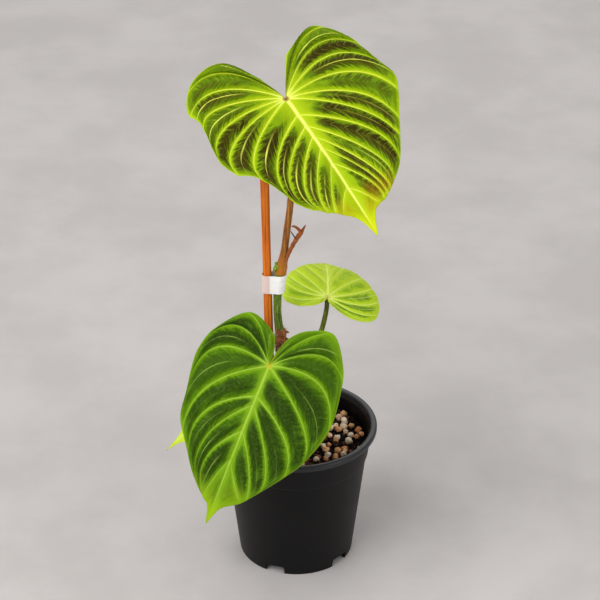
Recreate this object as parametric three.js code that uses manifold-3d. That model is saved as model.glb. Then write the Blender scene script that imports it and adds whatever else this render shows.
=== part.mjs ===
// A climbing aroid with velvety heart-shaped leaves, tied to a stake in a round nursery pot.
// Millimetres, +Z up. The origin is the centre of the pot's underside; the viewer stands at -Y.
import * as THREE from 'three';
import { mergeVertices } from 'three/addons/utils/BufferGeometryUtils.js';
import Module from 'manifold-3d';

const wasm = await Module();
wasm.setup();

// Clearance between neighbouring pieces
const GAP = 0.3;

// Pot: a 12 cm nursery pot
const POT = {
  height: 108,
  rimRadius: 60,
  lipDepth: 4,
  bandTopRadius: 56.4,
  bandFootRadius: 53.5,
  bandFootHeight: 85,
  bandMiddleHeight: 95,
  stepWidth: 1.2,
  stepDrop: 1.6,
  footRadius: 42.2,
  footLip: 0.7,
  wall: 1.6,
  blend: 4,
  padRadius: 28,
  channelInner: 30,
  channelHeight: 6.5,
  floor: 1.6,
  segments: 48,
  notches: 5,
  notchWidth: 14.6,
  notchDepth: 12,
  notchOut: 2,
  firstNotch: -112,
  drainLength: 11,
  drainWidth: 5,
  drainHeight: 12,
};

// Potting mix, and the granules that cover it
const SOIL = {
  level: 93.4,
  swell: 1.6,
  segments: 28,
  rings: 5,
  seed: 41,
  granules: 84,
  smallest: 2.8,
  largest: 4.2,
  rimRoom: 1.5,
  bedded: 0.15,
  flattest: 0.7,
  turn: 6.28,
};

// Stake, stem and tape
const STAKE = { foot: [-16.6, 0, 17], head: [-22.5, 0, 346], width: 6.2, depth: 4.8, sides: 10, steps: 8 };
const STEM_LINE = [
  [-7.6, 1, 18, 3.4],
  [-7.8, 1, 70, 3.7],
  [-8, 0.5, 112, 4],
  [-10.5, 0.2, 150, 3.3],
  [-11.4, 0, 174, 3.7],
  [-11, -0.2, 181, 4],
  [-11.2, -0.3, 187, 4.1],
  [-12.4, -0.6, 192, 3.1],
  [-13.2, -0.8, 204, 2.9],
  [-13.2, -0.8, 217, 3],
  [-12.1, -0.4, 227, 3.4],
  [-11.6, -0.2, 235, 3.3],
  [-12.9, -0.6, 241, 2.4],
  [-14.2, -1.2, 245.5, 1],
];
const COLLAR = { x: -11.1, reach: 3.4, nubRoot: 1.3, nubTip: 0.5, nubDrop: 1.6 };
const ROOT_NUBS = [
  [24, 186, 3.2],
  [-20, 182, 3.8],
  [-62, 187, 2.8],
  [95, 184, 2.6],
  [252, 183, 2.4],
];
const BUD = { from: [-12.6, -2, 243], to: [-16.2, -2.8, 239.4], root: 1.9, tip: 0.6 };
const TAPE = {
  bottom: 221,
  top: 235.5,
  thickness: 0.6,
  arcSteps: 10,
  foot: { stemX: -12.7, stemRadius: 3.95 },
  head: { stemX: -11.3, stemRadius: 4.2 },
  shoulder: 0.9,
};
const TAPE_ROOM = { width: 40, depth: 20, x: -14 };

// Leaf stalks: path points with the radius at each, from the stem to the blade
const PETIOLES = {
  top: [
    [-10.8, -0.6, 234, 4],
    [-10.2, -0.6, 241, 4.1],
    [-8.9, -0.6, 249, 3.2],
    [-7.8, -0.5, 257, 2.6],
    [-6.2, 0, 272, 2.5],
    [-4.1, 0, 290, 2.4],
    [-2.2, 1, 318, 2.3],
    [-2.6, 0, 345, 2.2],
    [-4.6, -5, 366, 2.1],
    [-6.6, -12, 381, 2.0],
  ],
  lower: [
    [-9.5, -1, 113, 2.6],
    [-10, -7, 126, 2.4],
    [-12, -21, 151, 2.1],
    [-15.5, -35, 173, 2.0],
    [-19, -45, 186, 1.9],
  ],
  small: [
    [-8.4, 1.5, 120, 2.2],
    [-3, 5, 130, 2.1],
    [8, 12, 150, 2.0],
    [18, 19, 174, 1.9],
    [22, 22.5, 190, 1.8],
    [23, 24, 202, 1.6],
  ],
  rear: [
    [-9.6, -0.5, 103, 2.2],
    [-14, -4.5, 114, 2.0],
    [-25, -11, 132, 1.8],
    [-34, -14.8, 141.5, 1.7],
    [-38, -16, 145, 1.5],
  ],
};

// Dried bract: path points with the half width and the turn about the path, in degrees
const CATAPHYLL = [
  [-7, -3.6, 246.5, 1.2, 30],
  [-5.6, -4.1, 251.5, 1.5, 30],
  [-3.9, -4.3, 256, 1.7, 30],
  [-1.4, -4.4, 261.6, 1.9, 28],
  [1.2, -4.5, 266.6, 2, 22],
  [3.4, -4.7, 270.8, 1.8, 10],
  [5, -4.8, 274.4, 1, -8],
  [6.9, -5, 278.2, 0.35, -15],
];
const CATAPHYLL_THICKNESS = 0.8;
const CATAPHYLL_CURL = 0.5;

// Blades. plus and minus are the margins of the two halves, from the notch at the back round the
// lobe to the tip, as [across, along] from the stalk's seat. veinRoots says how far along the
// midrib each side vein starts. The vein tables give each vein's bend, as [across, along], and
// where it ends, counted in margin stations. The first vein is the notch's edge, the last the tip.
const BLADES = {
  top: {
    seat: [-6.6, -12, 381],
    heading: 37,
    dip: 26.8,
    roll: -16.7,
    length: 116,
    width: 70,
    arch: 15,
    droop: 5,
    lobeFall: 0,
    quilt: 3,
    fold: 1.5,
    plus: [[7, -23], [24, -47], [48, -45], [62, -28], [60, -12], [64, 14],
      [60, 31], [47, 45], [34, 75], [21, 87], [6, 100], [0, 116]],
    minus: [[20, -31], [48, -41], [66, -20], [72, 1], [76, 22], [61, 49],
      [52, 64], [41, 80], [29, 90], [20, 96], [8, 101], [0, 116]],
    veinRoots: [0, 0, 0, 0, 0, 0, 0, 15, 25, 34, 44, 57, 78, 116],
    plusVeins: [[4, -11.5, 0], [22, -58, 2.4], [39, -46, 3.3], [54, -29.5, 4.1], [64, -13.5, 5.25],
      [67.5, 6, 6.15], [56, 23.5, 7.05], [48, 40, 7.8], [49, 55, 8.4], [38, 65.5, 8.8],
      [26, 73, 9], [15.5, 80.5, 9.25], [6, 80, 9.5], [0, 116, 11]],
    minusVeins: [[9, -16, 0], [30.5, -44.5, 1.3], [47, -47, 2.4], [56, -34, 3.5], [61, -10, 4.35],
      [58, 14, 5.1], [50, 32, 5.9], [54, 52, 6.9], [44, 75, 7.95], [32, 81.5, 8.5],
      [27, 84.5, 8.95], [23.5, 87, 9.25], [7, 84, 9.55], [0, 116, 11]],
    columns: 3,
    rings: 8,
  },
  lower: {
    seat: [-19, -45, 186],
    heading: -36.7,
    dip: 49.8,
    roll: 25.3,
    length: 121,
    width: 60,
    arch: 18,
    droop: 6,
    lobeFall: 0,
    quilt: 2.5,
    fold: 1.5,
    plus: [[1.2, -13], [6.5, -23], [28, -30], [47, -9], [52, 8], [51, 23], [48, 40],
      [45, 58], [35, 73], [22, 91], [9, 104], [4, 108], [0, 121]],
    minus: [[1.3, -12], [6, -23.5], [16, -33], [34, -38], [48, -21], [54, -3], [57, 26],
      [49, 54], [40, 69], [30, 83], [18, 98], [6, 107], [0, 121]],
    veinRoots: [0, 0, 0, 0, 0, 23.5, 29.5, 50, 71, 121],
    plusVeins: [[0.2, -7, 0], [18, -32.5, 2.15], [34.5, -36, 3.5], [53, -14.5, 5.6], [49, 27, 7.5],
      [45, 43, 8.35], [36, 65, 9.25], [27.5, 76, 9.75], [5, 80, 9.9], [0, 121, 12]],
    minusVeins: [[0.2, -7, 0], [12, -29, 2.9], [35, -37, 4.75], [48.5, -16.5, 6.05], [58, 36, 7.3],
      [45, 46, 8.1], [36, 73.5, 9.35], [21, 78.5, 9.8], [5, 84, 10], [0, 121, 12]],
    columns: 4,
    rings: 8,
  },
  small: {
    seat: [23, 24, 202],
    heading: 178,
    dip: -10,
    roll: -9,
    length: 70,
    width: 36,
    arch: 27,
    droop: 5,
    lobeFall: 3,
    quilt: 1.2,
    fold: 0.8,
    plus: [[3, -9], [14, -19], [26, -20], [36, -13], [39, -1], [38, 12],
      [34, 24], [29, 35], [22, 45], [13, 54], [4, 61], [0, 70]],
    minus: [[3, -6], [10, -12], [21, -13], [30, -8], [33, 2], [32, 13],
      [30, 23], [26, 33], [20, 43], [13, 52], [4, 60], [0, 70]],
    veinRoots: [0, 0, 0, 0, 0, 0, 16, 36, 70],
    plusVeins: [[0.5, -5, 0], [10, -22.5, 2.6], [22, -22, 3.6], [25.5, -10.5, 4.7], [18, 2, 6],
      [12, 16, 7.3], [7, 34, 9], [3.5, 42, 9.3], [0, 70, 11]],
    minusVeins: [[0, -2.5, 0], [13, -11, 1.9], [18, -12.5, 3.8], [23, -3, 5.25], [20, 6, 6.2],
      [13, 15, 7.3], [11, 29, 8.5], [3.5, 39.5, 9.2], [0, 70, 11]],
    columns: 3,
    rings: 6,
  },
  rear: {
    seat: [-38, -16, 145],
    heading: -74,
    dip: 25,
    roll: 16,
    length: 70,
    width: 30,
    arch: 14.6,
    droop: 4,
    lobeFall: 0,
    quilt: 1.2,
    fold: 0.8,
    plus: [[2.5, -8], [10, -15], [19, -16], [26, -11], [30, 0], [31, 11],
      [28, 22], [23, 33], [15, 43], [6.5, 51], [2, 58], [0, 70]],
    minus: [[2.5, -8], [10, -15], [19, -16], [26, -11], [30, 0], [31, 11],
      [29, 22], [25, 33], [19, 43], [11, 51], [4, 58], [0, 70]],
    veinRoots: [0, 0, 0, 0, 0, 8, 20, 36, 70],
    plusVeins: [[0.5, -4, 0], [10.5, -16, 1.6], [19, -16, 3.2], [25, -4, 4.7], [22, 12, 6],
      [20, 24, 7.3], [15, 36, 8.5], [3, 41, 9.2], [0, 70, 11]],
    minusVeins: [[0.5, -4, 0], [10.5, -16, 1.6], [19, -16, 3.2], [25, -4, 4.7], [22, 12, 6],
      [20, 24, 7.3], [15, 36, 8.5], [3, 41, 9.2], [0, 70, 11]],
    columns: 3,
    rings: 6,
  },
};
const BLADE_THICKNESS = 0.9;
const RIB = 0.9;
const HEAD_CUT = 30;
const STALK_DOME = 0.35;
const STALK_SIDES = 10;

// Finishes
const FINISH = {
  pot: { color: 0x1d1b1c, roughness: 0.5, metalness: 0 },
  soil: { color: 0x6b4a30, roughness: 0.95, metalness: 0 },
  stake: { color: 0xa8560b, roughness: 0.7, metalness: 0 },
  stem: { color: 0x5a3c1c, roughness: 0.8, metalness: 0 },
  tape: { color: 0xe2ded6, roughness: 0.6, metalness: 0 },
  petiole: { color: 0x6e4620, roughness: 0.8, metalness: 0 },
  youngPetiole: { color: 0x444710, roughness: 0.8, metalness: 0 },
  bract: { color: 0x7a3a20, roughness: 0.85, metalness: 0 },
  blade: { color: 0x5c7a16, roughness: 0.6, metalness: 0 },
  darkBlade: { color: 0x1f4a10, roughness: 0.6, metalness: 0 },
  youngBlade: { color: 0xa8d02c, roughness: 0.5, metalness: 0 },
};

const radians = THREE.MathUtils.degToRad;

// Seeded random numbers, the same on every run
function randomFrom(seed) {
  let state = seed >>> 0;
  return () => {
    state = (state + 0x6d2b79f5) >>> 0;
    let mixed = Math.imul(state ^ (state >>> 15), state | 1);
    mixed ^= mixed + Math.imul(mixed ^ (mixed >>> 7), mixed | 61);
    return ((mixed ^ (mixed >>> 14)) >>> 0) / 4294967296;
  };
}

// Closed solids from triangles, and back
function geometryFrom(triangles) {
  const values = [];
  for (const corners of triangles) {
    const [a, b, c] = corners;
    const doubled = new THREE.Vector3().subVectors(b, a).cross(new THREE.Vector3().subVectors(c, a));
    if (doubled.length() < 1e-6) continue;
    for (const corner of corners) values.push(corner.x, corner.y, corner.z);
  }
  const geometry = new THREE.BufferGeometry();
  geometry.setAttribute('position', new THREE.Float32BufferAttribute(values, 3));
  return geometry;
}

function solidFrom(geometry) {
  const bare = geometry.clone();
  bare.deleteAttribute('normal');
  bare.deleteAttribute('uv');
  const merged = mergeVertices(bare, 1e-4);
  return new wasm.Manifold(new wasm.Mesh({
    numProp: 3,
    vertProperties: new Float32Array(merged.attributes.position.array),
    triVerts: new Uint32Array(merged.index.array),
  }));
}

function geometryOf(solid) {
  const mesh = solid.getMesh();
  const geometry = new THREE.BufferGeometry();
  geometry.setAttribute('position', new THREE.Float32BufferAttribute(mesh.vertProperties, 3));
  geometry.setIndex(Array.from(mesh.triVerts));
  geometry.computeVertexNormals();
  return geometry;
}

// The biggest of the lumps that a cut leaves
function largest(solid) {
  const lumps = solid.decompose();
  lumps.sort((a, b) => b.volume() - a.volume());
  return lumps[0];
}

// A skin between closed rings of points, with a domed point at each end
function skinOver(rings, firstTip, lastTip) {
  const triangles = [];
  const sides = rings[0].length;
  for (let i = 0; i < sides; i += 1) {
    const j = (i + 1) % sides;
    triangles.push([firstTip, rings[0][j], rings[0][i]]);
    triangles.push([lastTip, rings[rings.length - 1][i], rings[rings.length - 1][j]]);
    for (let k = 0; k + 1 < rings.length; k += 1) {
      triangles.push([rings[k][i], rings[k][j], rings[k + 1][j]]);
      triangles.push([rings[k][i], rings[k + 1][j], rings[k + 1][i]]);
    }
  }
  return geometryFrom(triangles);
}

// A round stalk whose thickness follows its path
function stalk(line, sides, stepsPerSpan, extra = 0) {
  const curve = new THREE.CatmullRomCurve3(line.map(([x, y, z]) => new THREE.Vector3(x, y, z)));
  const spans = line.length - 1;
  const steps = spans * stepsPerSpan;
  const away = new THREE.Vector3(0, 1, 0);
  const rings = [];
  for (let k = 0; k <= steps; k += 1) {
    const along = k / steps;
    const span = Math.min(Math.floor(along * spans), spans - 1);
    const part = along * spans - span;
    const radius = extra + THREE.MathUtils.lerp(line[span][3], line[span + 1][3], part);
    const centre = curve.getPoint(along);
    const tangent = curve.getTangent(along);
    const across = new THREE.Vector3().crossVectors(away, tangent).normalize();
    const depth = new THREE.Vector3().crossVectors(tangent, across);
    const ring = [];
    for (let i = 0; i < sides; i += 1) {
      const angle = (i / sides) * 2 * Math.PI;
      ring.push(centre.clone()
        .addScaledVector(across, radius * Math.cos(angle))
        .addScaledVector(depth, radius * Math.sin(angle)));
    }
    rings.push(ring);
  }
  const start = curve.getPoint(0).addScaledVector(curve.getTangent(0), -STALK_DOME * (line[0][3] + extra));
  const end = curve.getPoint(1).addScaledVector(curve.getTangent(1), STALK_DOME * (line[spans][3] + extra));
  return skinOver(rings, start, end);
}

// Pot: turned wall with a rolled lip, a stepped band and a raised drainage channel
function potWallRadius(height) {
  const bandFoot = POT.bandFootHeight;
  if (height >= bandFoot) {
    const share = (height - bandFoot) / (POT.height - POT.lipDepth - bandFoot);
    return THREE.MathUtils.lerp(POT.bandFootRadius, POT.bandTopRadius, share);
  }
  const bodyTop = POT.bandFootRadius - POT.stepWidth;
  const share = Math.min(1, height / (bandFoot - POT.stepDrop));
  return THREE.MathUtils.lerp(POT.footRadius, bodyTop, share);
}

function potInnerRadius(height) {
  return potWallRadius(height) - POT.wall;
}

function makePot() {
  const top = POT.height;
  const lipFoot = top - POT.lipDepth;
  const bodyTop = POT.bandFootHeight - POT.stepDrop;
  const rim = POT.rimRadius;
  const channelOuter = POT.footRadius - POT.wall;
  const floorTop = POT.channelHeight + POT.floor;
  const profile = [
    [0, 0],
    [POT.padRadius, 0],
    [POT.channelInner, POT.channelHeight],
    [channelOuter, POT.channelHeight],
    [channelOuter - POT.footLip, 0],
    [POT.footRadius, 0],
    [potWallRadius(bodyTop), bodyTop],
    [POT.bandFootRadius, POT.bandFootHeight],
    [potWallRadius(POT.bandMiddleHeight), POT.bandMiddleHeight],
    [POT.bandTopRadius, lipFoot],
    [rim - 0.8, lipFoot - 0.2],
    [rim, lipFoot + 1],
    [rim - 0.2, top - 1],
    [rim - 1.4, top],
    [rim - 3, top - 0.2],
    [rim - 4.2, top - 1.6],
    [potInnerRadius(lipFoot) + 0.2, lipFoot - 2],
    [potInnerRadius(POT.bandFootHeight + POT.blend), POT.bandFootHeight + POT.blend],
    [potInnerRadius(POT.bandFootHeight - POT.blend), POT.bandFootHeight - POT.blend],
    [potInnerRadius(floorTop), floorTop],
    [POT.channelInner - 1.4, floorTop],
    [POT.padRadius - 1.6, POT.floor],
    [0, POT.floor],
  ];
  const turned = new THREE.LatheGeometry(profile.map(([x, y]) => new THREE.Vector2(x, y)), POT.segments);
  turned.rotateX(Math.PI / 2);
  let pot = solidFrom(turned);
  for (let i = 0; i < POT.notches; i += 1) {
    const turn = radians(POT.firstNotch + (i * 360) / POT.notches);
    const notch = new THREE.BoxGeometry(POT.notchDepth, POT.notchWidth, 2 * POT.channelHeight);
    notch.translate(POT.footRadius + POT.notchOut, 0, 0);
    notch.rotateZ(turn);
    const drain = new THREE.BoxGeometry(POT.drainWidth, POT.drainLength, POT.drainHeight);
    drain.translate((POT.channelInner + channelOuter) / 2, 0, POT.channelHeight);
    drain.rotateZ(turn);
    pot = pot.subtract(solidFrom(notch)).subtract(solidFrom(drain));
  }
  return geometryOf(pot);
}

// Potting mix: a plug that fills the pot, with an uneven top and lumps bedded in it
function soilHeight(x, y) {
  return SOIL.level + SOIL.swell * Math.sin(x / 13 + 0.6) * Math.cos(y / 17) - 0.4;
}

function soilPlug() {
  const floorTop = POT.channelHeight + POT.floor + GAP;
  const levels = [
    floorTop,
    POT.bandFootHeight - POT.blend,
    POT.bandFootHeight + POT.blend,
    SOIL.level,
  ];
  const rings = levels.map((level) => {
    const ring = [];
    for (let i = 0; i < SOIL.segments; i += 1) {
      const angle = (i / SOIL.segments) * 2 * Math.PI;
      const radius = potInnerRadius(level) - 2 * GAP;
      const x = radius * Math.cos(angle);
      const y = radius * Math.sin(angle);
      ring.push(new THREE.Vector3(x, y, level === SOIL.level ? soilHeight(x, y) : level));
    }
    return ring;
  });
  const rim = rings[rings.length - 1];
  for (let k = 1; k < SOIL.rings; k += 1) {
    const share = 1 - k / SOIL.rings;
    rings.push(rim.map((edge) => {
      const x = edge.x * share;
      const y = edge.y * share;
      return new THREE.Vector3(x, y, soilHeight(x, y));
    }));
  }
  const foot = new THREE.Vector3(0, 0, floorTop);
  return skinOver(rings, foot, new THREE.Vector3(0, 0, soilHeight(0, 0)));
}

function makeSoil() {
  const random = randomFrom(SOIL.seed);
  let soil = solidFrom(soilPlug());
  const reach = potInnerRadius(SOIL.level) - SOIL.rimRoom;
  const golden = Math.PI * (3 - Math.sqrt(5));
  for (let i = 0; i < SOIL.granules; i += 1) {
    const size = THREE.MathUtils.lerp(SOIL.smallest, SOIL.largest, random());
    const radius = (reach - size) * Math.sqrt((i + 0.5) / SOIL.granules);
    const angle = i * golden + 0.25 * random();
    const x = radius * Math.cos(angle);
    const y = radius * Math.sin(angle);
    const lump = new THREE.IcosahedronGeometry(size, 0);
    lump.scale(1, 0.75 + 0.25 * random(), SOIL.flattest + 0.25 * random());
    lump.rotateX(SOIL.turn * random());
    lump.rotateZ(SOIL.turn * random());
    lump.translate(x, y, soilHeight(x, y) + SOIL.bedded * size);
    soil = soil.add(solidFrom(lump));
  }
  soil = soil.subtract(solidFrom(stakeGeometry(2 * GAP)));
  soil = soil.subtract(solidFrom(stalk(STEM_LINE.slice(0, 4), STALK_SIDES, 2, 2 * GAP)));
  return geometryOf(largest(soil));
}

// Stake: a split stick, flat oval in section, slightly uneven
function stakeGeometry(extra = 0) {
  const foot = new THREE.Vector3(...STAKE.foot);
  const head = new THREE.Vector3(...STAKE.head);
  const rings = [];
  for (let k = 0; k <= STAKE.steps; k += 1) {
    const share = k / STAKE.steps;
    const centre = foot.clone().lerp(head, share);
    const swell = 1 + 0.03 * Math.sin(5 * share * Math.PI);
    const ring = [];
    for (let i = 0; i < STAKE.sides; i += 1) {
      const angle = (i / STAKE.sides) * 2 * Math.PI;
      const x = (extra + (STAKE.width / 2) * swell) * Math.cos(angle);
      const y = (extra + STAKE.depth / 2) * Math.sin(angle);
      ring.push(new THREE.Vector3(centre.x + x, centre.y + y, centre.z));
    }
    rings.push(ring);
  }
  const below = foot.clone().add(new THREE.Vector3(0, 0, -extra - 0.5));
  return skinOver(rings, below, head.clone().add(new THREE.Vector3(0, 0, 0.8)));
}

// Stem: an old woody foot, a node collar with root nubs, a green joint and a bud at its head
function stemSolid(extra = 0) {
  let stem = solidFrom(stalk(STEM_LINE, 12, 2, extra));
  const bud = [[...BUD.from, BUD.root], [...BUD.to, BUD.tip]];
  stem = stem.add(solidFrom(sideStalk(bud, 8, extra)));
  for (const [turn, height, length] of ROOT_NUBS) {
    const angle = radians(turn);
    const reach = COLLAR.reach + length;
    const tip = [COLLAR.x + reach * Math.cos(angle), reach * Math.sin(angle), height - COLLAR.nubDrop];
    const nub = [[COLLAR.x, 0, height, COLLAR.nubRoot], [...tip, COLLAR.nubTip]];
    stem = stem.add(solidFrom(sideStalk(nub, 6, extra)));
  }
  return largest(stem);
}

// A short stalk that may lie level, so its rings use the upright as their reference
function sideStalk(line, sides, extra) {
  const start = new THREE.Vector3(...line[0].slice(0, 3));
  const end = new THREE.Vector3(...line[1].slice(0, 3));
  const tangent = end.clone().sub(start).normalize();
  const across = new THREE.Vector3(0, 0, 1).cross(tangent).normalize();
  const depth = new THREE.Vector3().crossVectors(tangent, across);
  const rings = [[start, line[0][3] + extra], [end, line[1][3] + extra]].map(([centre, radius]) => {
    const ring = [];
    for (let i = 0; i < sides; i += 1) {
      const angle = (i / sides) * 2 * Math.PI;
      ring.push(centre.clone()
        .addScaledVector(across, radius * Math.cos(angle))
        .addScaledVector(depth, radius * Math.sin(angle)));
    }
    return ring;
  });
  const cap = end.clone().addScaledVector(tangent, 0.4 + extra);
  return skinOver(rings, start.clone().addScaledVector(tangent, -0.3), cap);
}

// Tape: a flat band drawn tight round the stake and the stem, wider at its head
function tapeLoop(height, stemSide, room) {
  const share = (height - STAKE.foot[2]) / (STAKE.head[2] - STAKE.foot[2]);
  const stakeX = THREE.MathUtils.lerp(STAKE.foot[0], STAKE.head[0], share);
  const stemRadius = stemSide.stemRadius + room;
  const stakeDepth = STAKE.depth / 2 + TAPE.shoulder + room;
  const stakeReach = STAKE.width / 2 + GAP + room;
  const loop = [];
  for (let i = 0; i <= TAPE.arcSteps; i += 1) {
    const angle = -Math.PI / 2 + (i / TAPE.arcSteps) * Math.PI;
    const x = stemSide.stemX + stemRadius * Math.cos(angle);
    loop.push(new THREE.Vector3(x, stemRadius * Math.sin(angle), height));
  }
  for (let i = 0; i <= TAPE.arcSteps; i += 1) {
    const angle = Math.PI / 2 + (i / TAPE.arcSteps) * Math.PI;
    const x = stakeX + stakeReach * Math.cos(angle);
    loop.push(new THREE.Vector3(x, stakeDepth * Math.sin(angle), height));
  }
  return loop;
}

function makeTape() {
  const outer = GAP + TAPE.thickness;
  const loops = [
    tapeLoop(TAPE.bottom, TAPE.foot, outer),
    tapeLoop(TAPE.top, TAPE.head, outer),
    tapeLoop(TAPE.top, TAPE.head, GAP),
    tapeLoop(TAPE.bottom, TAPE.foot, GAP),
  ];
  const triangles = [];
  for (let k = 0; k < loops.length; k += 1) {
    const near = loops[k];
    const far = loops[(k + 1) % loops.length];
    for (let i = 0; i < near.length; i += 1) {
      const j = (i + 1) % near.length;
      triangles.push([near[i], near[j], far[j]]);
      triangles.push([near[i], far[j], far[i]]);
    }
  }
  return geometryFrom(triangles);
}

// Blade: axes of the leaf. X runs across, M along the midrib to the tip, N out of the upper face
function bladeAxes(blade) {
  const heading = radians(blade.heading);
  const dip = radians(blade.dip);
  const roll = radians(blade.roll);
  const along = new THREE.Vector3(
    Math.cos(dip) * Math.sin(heading),
    -Math.cos(dip) * Math.cos(heading),
    -Math.sin(dip),
  );
  const out = new THREE.Vector3(
    Math.sin(dip) * Math.sin(heading),
    -Math.sin(dip) * Math.cos(heading),
    Math.cos(dip),
  );
  const across = new THREE.Vector3().crossVectors(along, out);
  return {
    across: across.clone().multiplyScalar(Math.cos(roll)).addScaledVector(out, Math.sin(roll)),
    along,
    out: out.clone().multiplyScalar(Math.cos(roll)).addScaledVector(across, -Math.sin(roll)),
  };
}

// The margin follows a smooth curve through its stations
function marginAt(stations, place) {
  const last = stations.length - 1;
  const span = Math.min(Math.floor(place), last - 1);
  const f = place - span;
  const at = (k) => {
    if (k < 0) return stations[0].map((value, axis) => 2 * value - stations[1][axis]);
    if (k > last) return stations[last].map((value, axis) => 2 * value - stations[last - 1][axis]);
    return stations[k];
  };
  const [a, b, c, d] = [at(span - 1), at(span), at(span + 1), at(span + 2)];
  return [0, 1].map((axis) => 0.5 * (2 * b[axis] + (c[axis] - a[axis]) * f
    + (2 * a[axis] - 5 * b[axis] + 4 * c[axis] - d[axis]) * f * f
    + (3 * b[axis] - a[axis] - 3 * c[axis] + d[axis]) * f * f * f));
}

// Flat plan of one half: place runs over the veins, reach along a vein to the margin
function planAt(blade, side, place, reach) {
  const stations = side > 0 ? blade.plus : blade.minus;
  const veins = side > 0 ? blade.plusVeins : blade.minusVeins;
  const span = Math.min(Math.floor(place), veins.length - 2);
  const between = (a, b) => THREE.MathUtils.lerp(a, b, place - span);
  const root = [0, between(blade.veinRoots[span], blade.veinRoots[span + 1])];
  const [bendX, bendY, station] = veins[span].map((value, k) => between(value, veins[span + 1][k]));
  const bend = [bendX, bendY];
  const end = marginAt(stations, station);
  const mix = (axis) => root[axis] * (1 - reach) ** 2
    + bend[axis] * 2 * reach * (1 - reach) + end[axis] * reach ** 2;
  return [mix(0), mix(1)];
}

// Height over the plan: arched midrib, drooping sides, raised quilting between sunken veins
function reliefAt(blade, place, reach, x, y) {
  const alongShare = y / blade.length;
  const acrossShare = x / blade.width;
  const fall = y > 0 ? blade.arch : blade.lobeFall;
  const last = blade.veinRoots.length - 1;
  const puff = Math.abs(Math.sin(Math.PI * place)) ** 0.8
    * Math.sin(0.8 * Math.PI * Math.min(1, reach ** 0.7))
    * Math.min(1, (last - place) / 2);
  return blade.fold * (1 - Math.exp(-Math.abs(x) / 6)) + blade.quilt * puff
    - fall * alongShare ** 2 - blade.droop * acrossShare ** 2;
}

function bladeGeometry(blade) {
  const { across, along, out } = bladeAxes(blade);
  const seat = new THREE.Vector3(...blade.seat);
  const last = blade.veinRoots.length - 1;
  const columns = last * blade.columns;
  const corner = (side, i, j) => {
    const place = i / blade.columns;
    const reach = j / blade.rings;
    const [x, y] = planAt(blade, side, place, reach);
    const relief = reliefAt(blade, place, reach, x, y);
    const middle = seat.clone().addScaledVector(across, side * x)
      .addScaledVector(along, y).addScaledVector(out, relief);
    const onVein = j === 0 || (i > 0 && i % blade.columns === 0);
    const rib = onVein ? RIB * (1 - reach) * (1 - y / blade.length) * (y < 0 ? 0.6 : 1) : 0;
    return {
      top: middle.clone().addScaledVector(out, BLADE_THICKNESS / 2),
      bottom: middle.clone().addScaledVector(out, -BLADE_THICKNESS / 2 - Math.max(0, Math.min(rib, RIB))),
    };
  };
  const triangles = [];
  const face = (a, b, c, side) => {
    const [p, q] = side > 0 ? [b, c] : [c, b];
    triangles.push([a.top, p.top, q.top]);
    triangles.push([a.bottom, q.bottom, p.bottom]);
  };
  const wall = (a, b, side) => {
    const [p, q] = side > 0 ? [a, b] : [b, a];
    triangles.push([p.bottom, q.bottom, q.top]);
    triangles.push([p.bottom, q.top, p.top]);
  };
  for (const side of [1, -1]) {
    const grid = [];
    for (let i = 0; i <= columns; i += 1) {
      grid.push([]);
      for (let j = 0; j <= blade.rings; j += 1) grid[i].push(corner(side, i, j));
    }
    for (let i = 0; i < columns; i += 1) {
      for (let j = 0; j < blade.rings; j += 1) {
        face(grid[i][j], grid[i][j + 1], grid[i + 1][j + 1], side);
        face(grid[i][j], grid[i + 1][j + 1], grid[i + 1][j], side);
      }
      wall(grid[i][blade.rings], grid[i + 1][blade.rings], side);
    }
    for (let j = 0; j < blade.rings; j += 1) wall(grid[0][j], grid[0][j + 1], side);
  }
  return geometryFrom(triangles);
}

// A leaf stalk ends clear of the stem at its foot, and flat under the blade's rib at its head
function petioleGeometry(name, stemRoom) {
  const blade = BLADES[name];
  const { out } = bladeAxes(blade);
  const drop = BLADE_THICKNESS / 2 + RIB + GAP;
  const bladeRoom = new THREE.BoxGeometry(HEAD_CUT, HEAD_CUT, HEAD_CUT);
  bladeRoom.translate(0, 0, HEAD_CUT / 2 - drop);
  bladeRoom.applyQuaternion(new THREE.Quaternion().setFromUnitVectors(new THREE.Vector3(0, 0, 1), out));
  bladeRoom.translate(...blade.seat);
  const whole = solidFrom(stalk(PETIOLES[name], STALK_SIDES, 2));
  return geometryOf(largest(whole.subtract(stemRoom).subtract(solidFrom(bladeRoom))));
}

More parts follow.
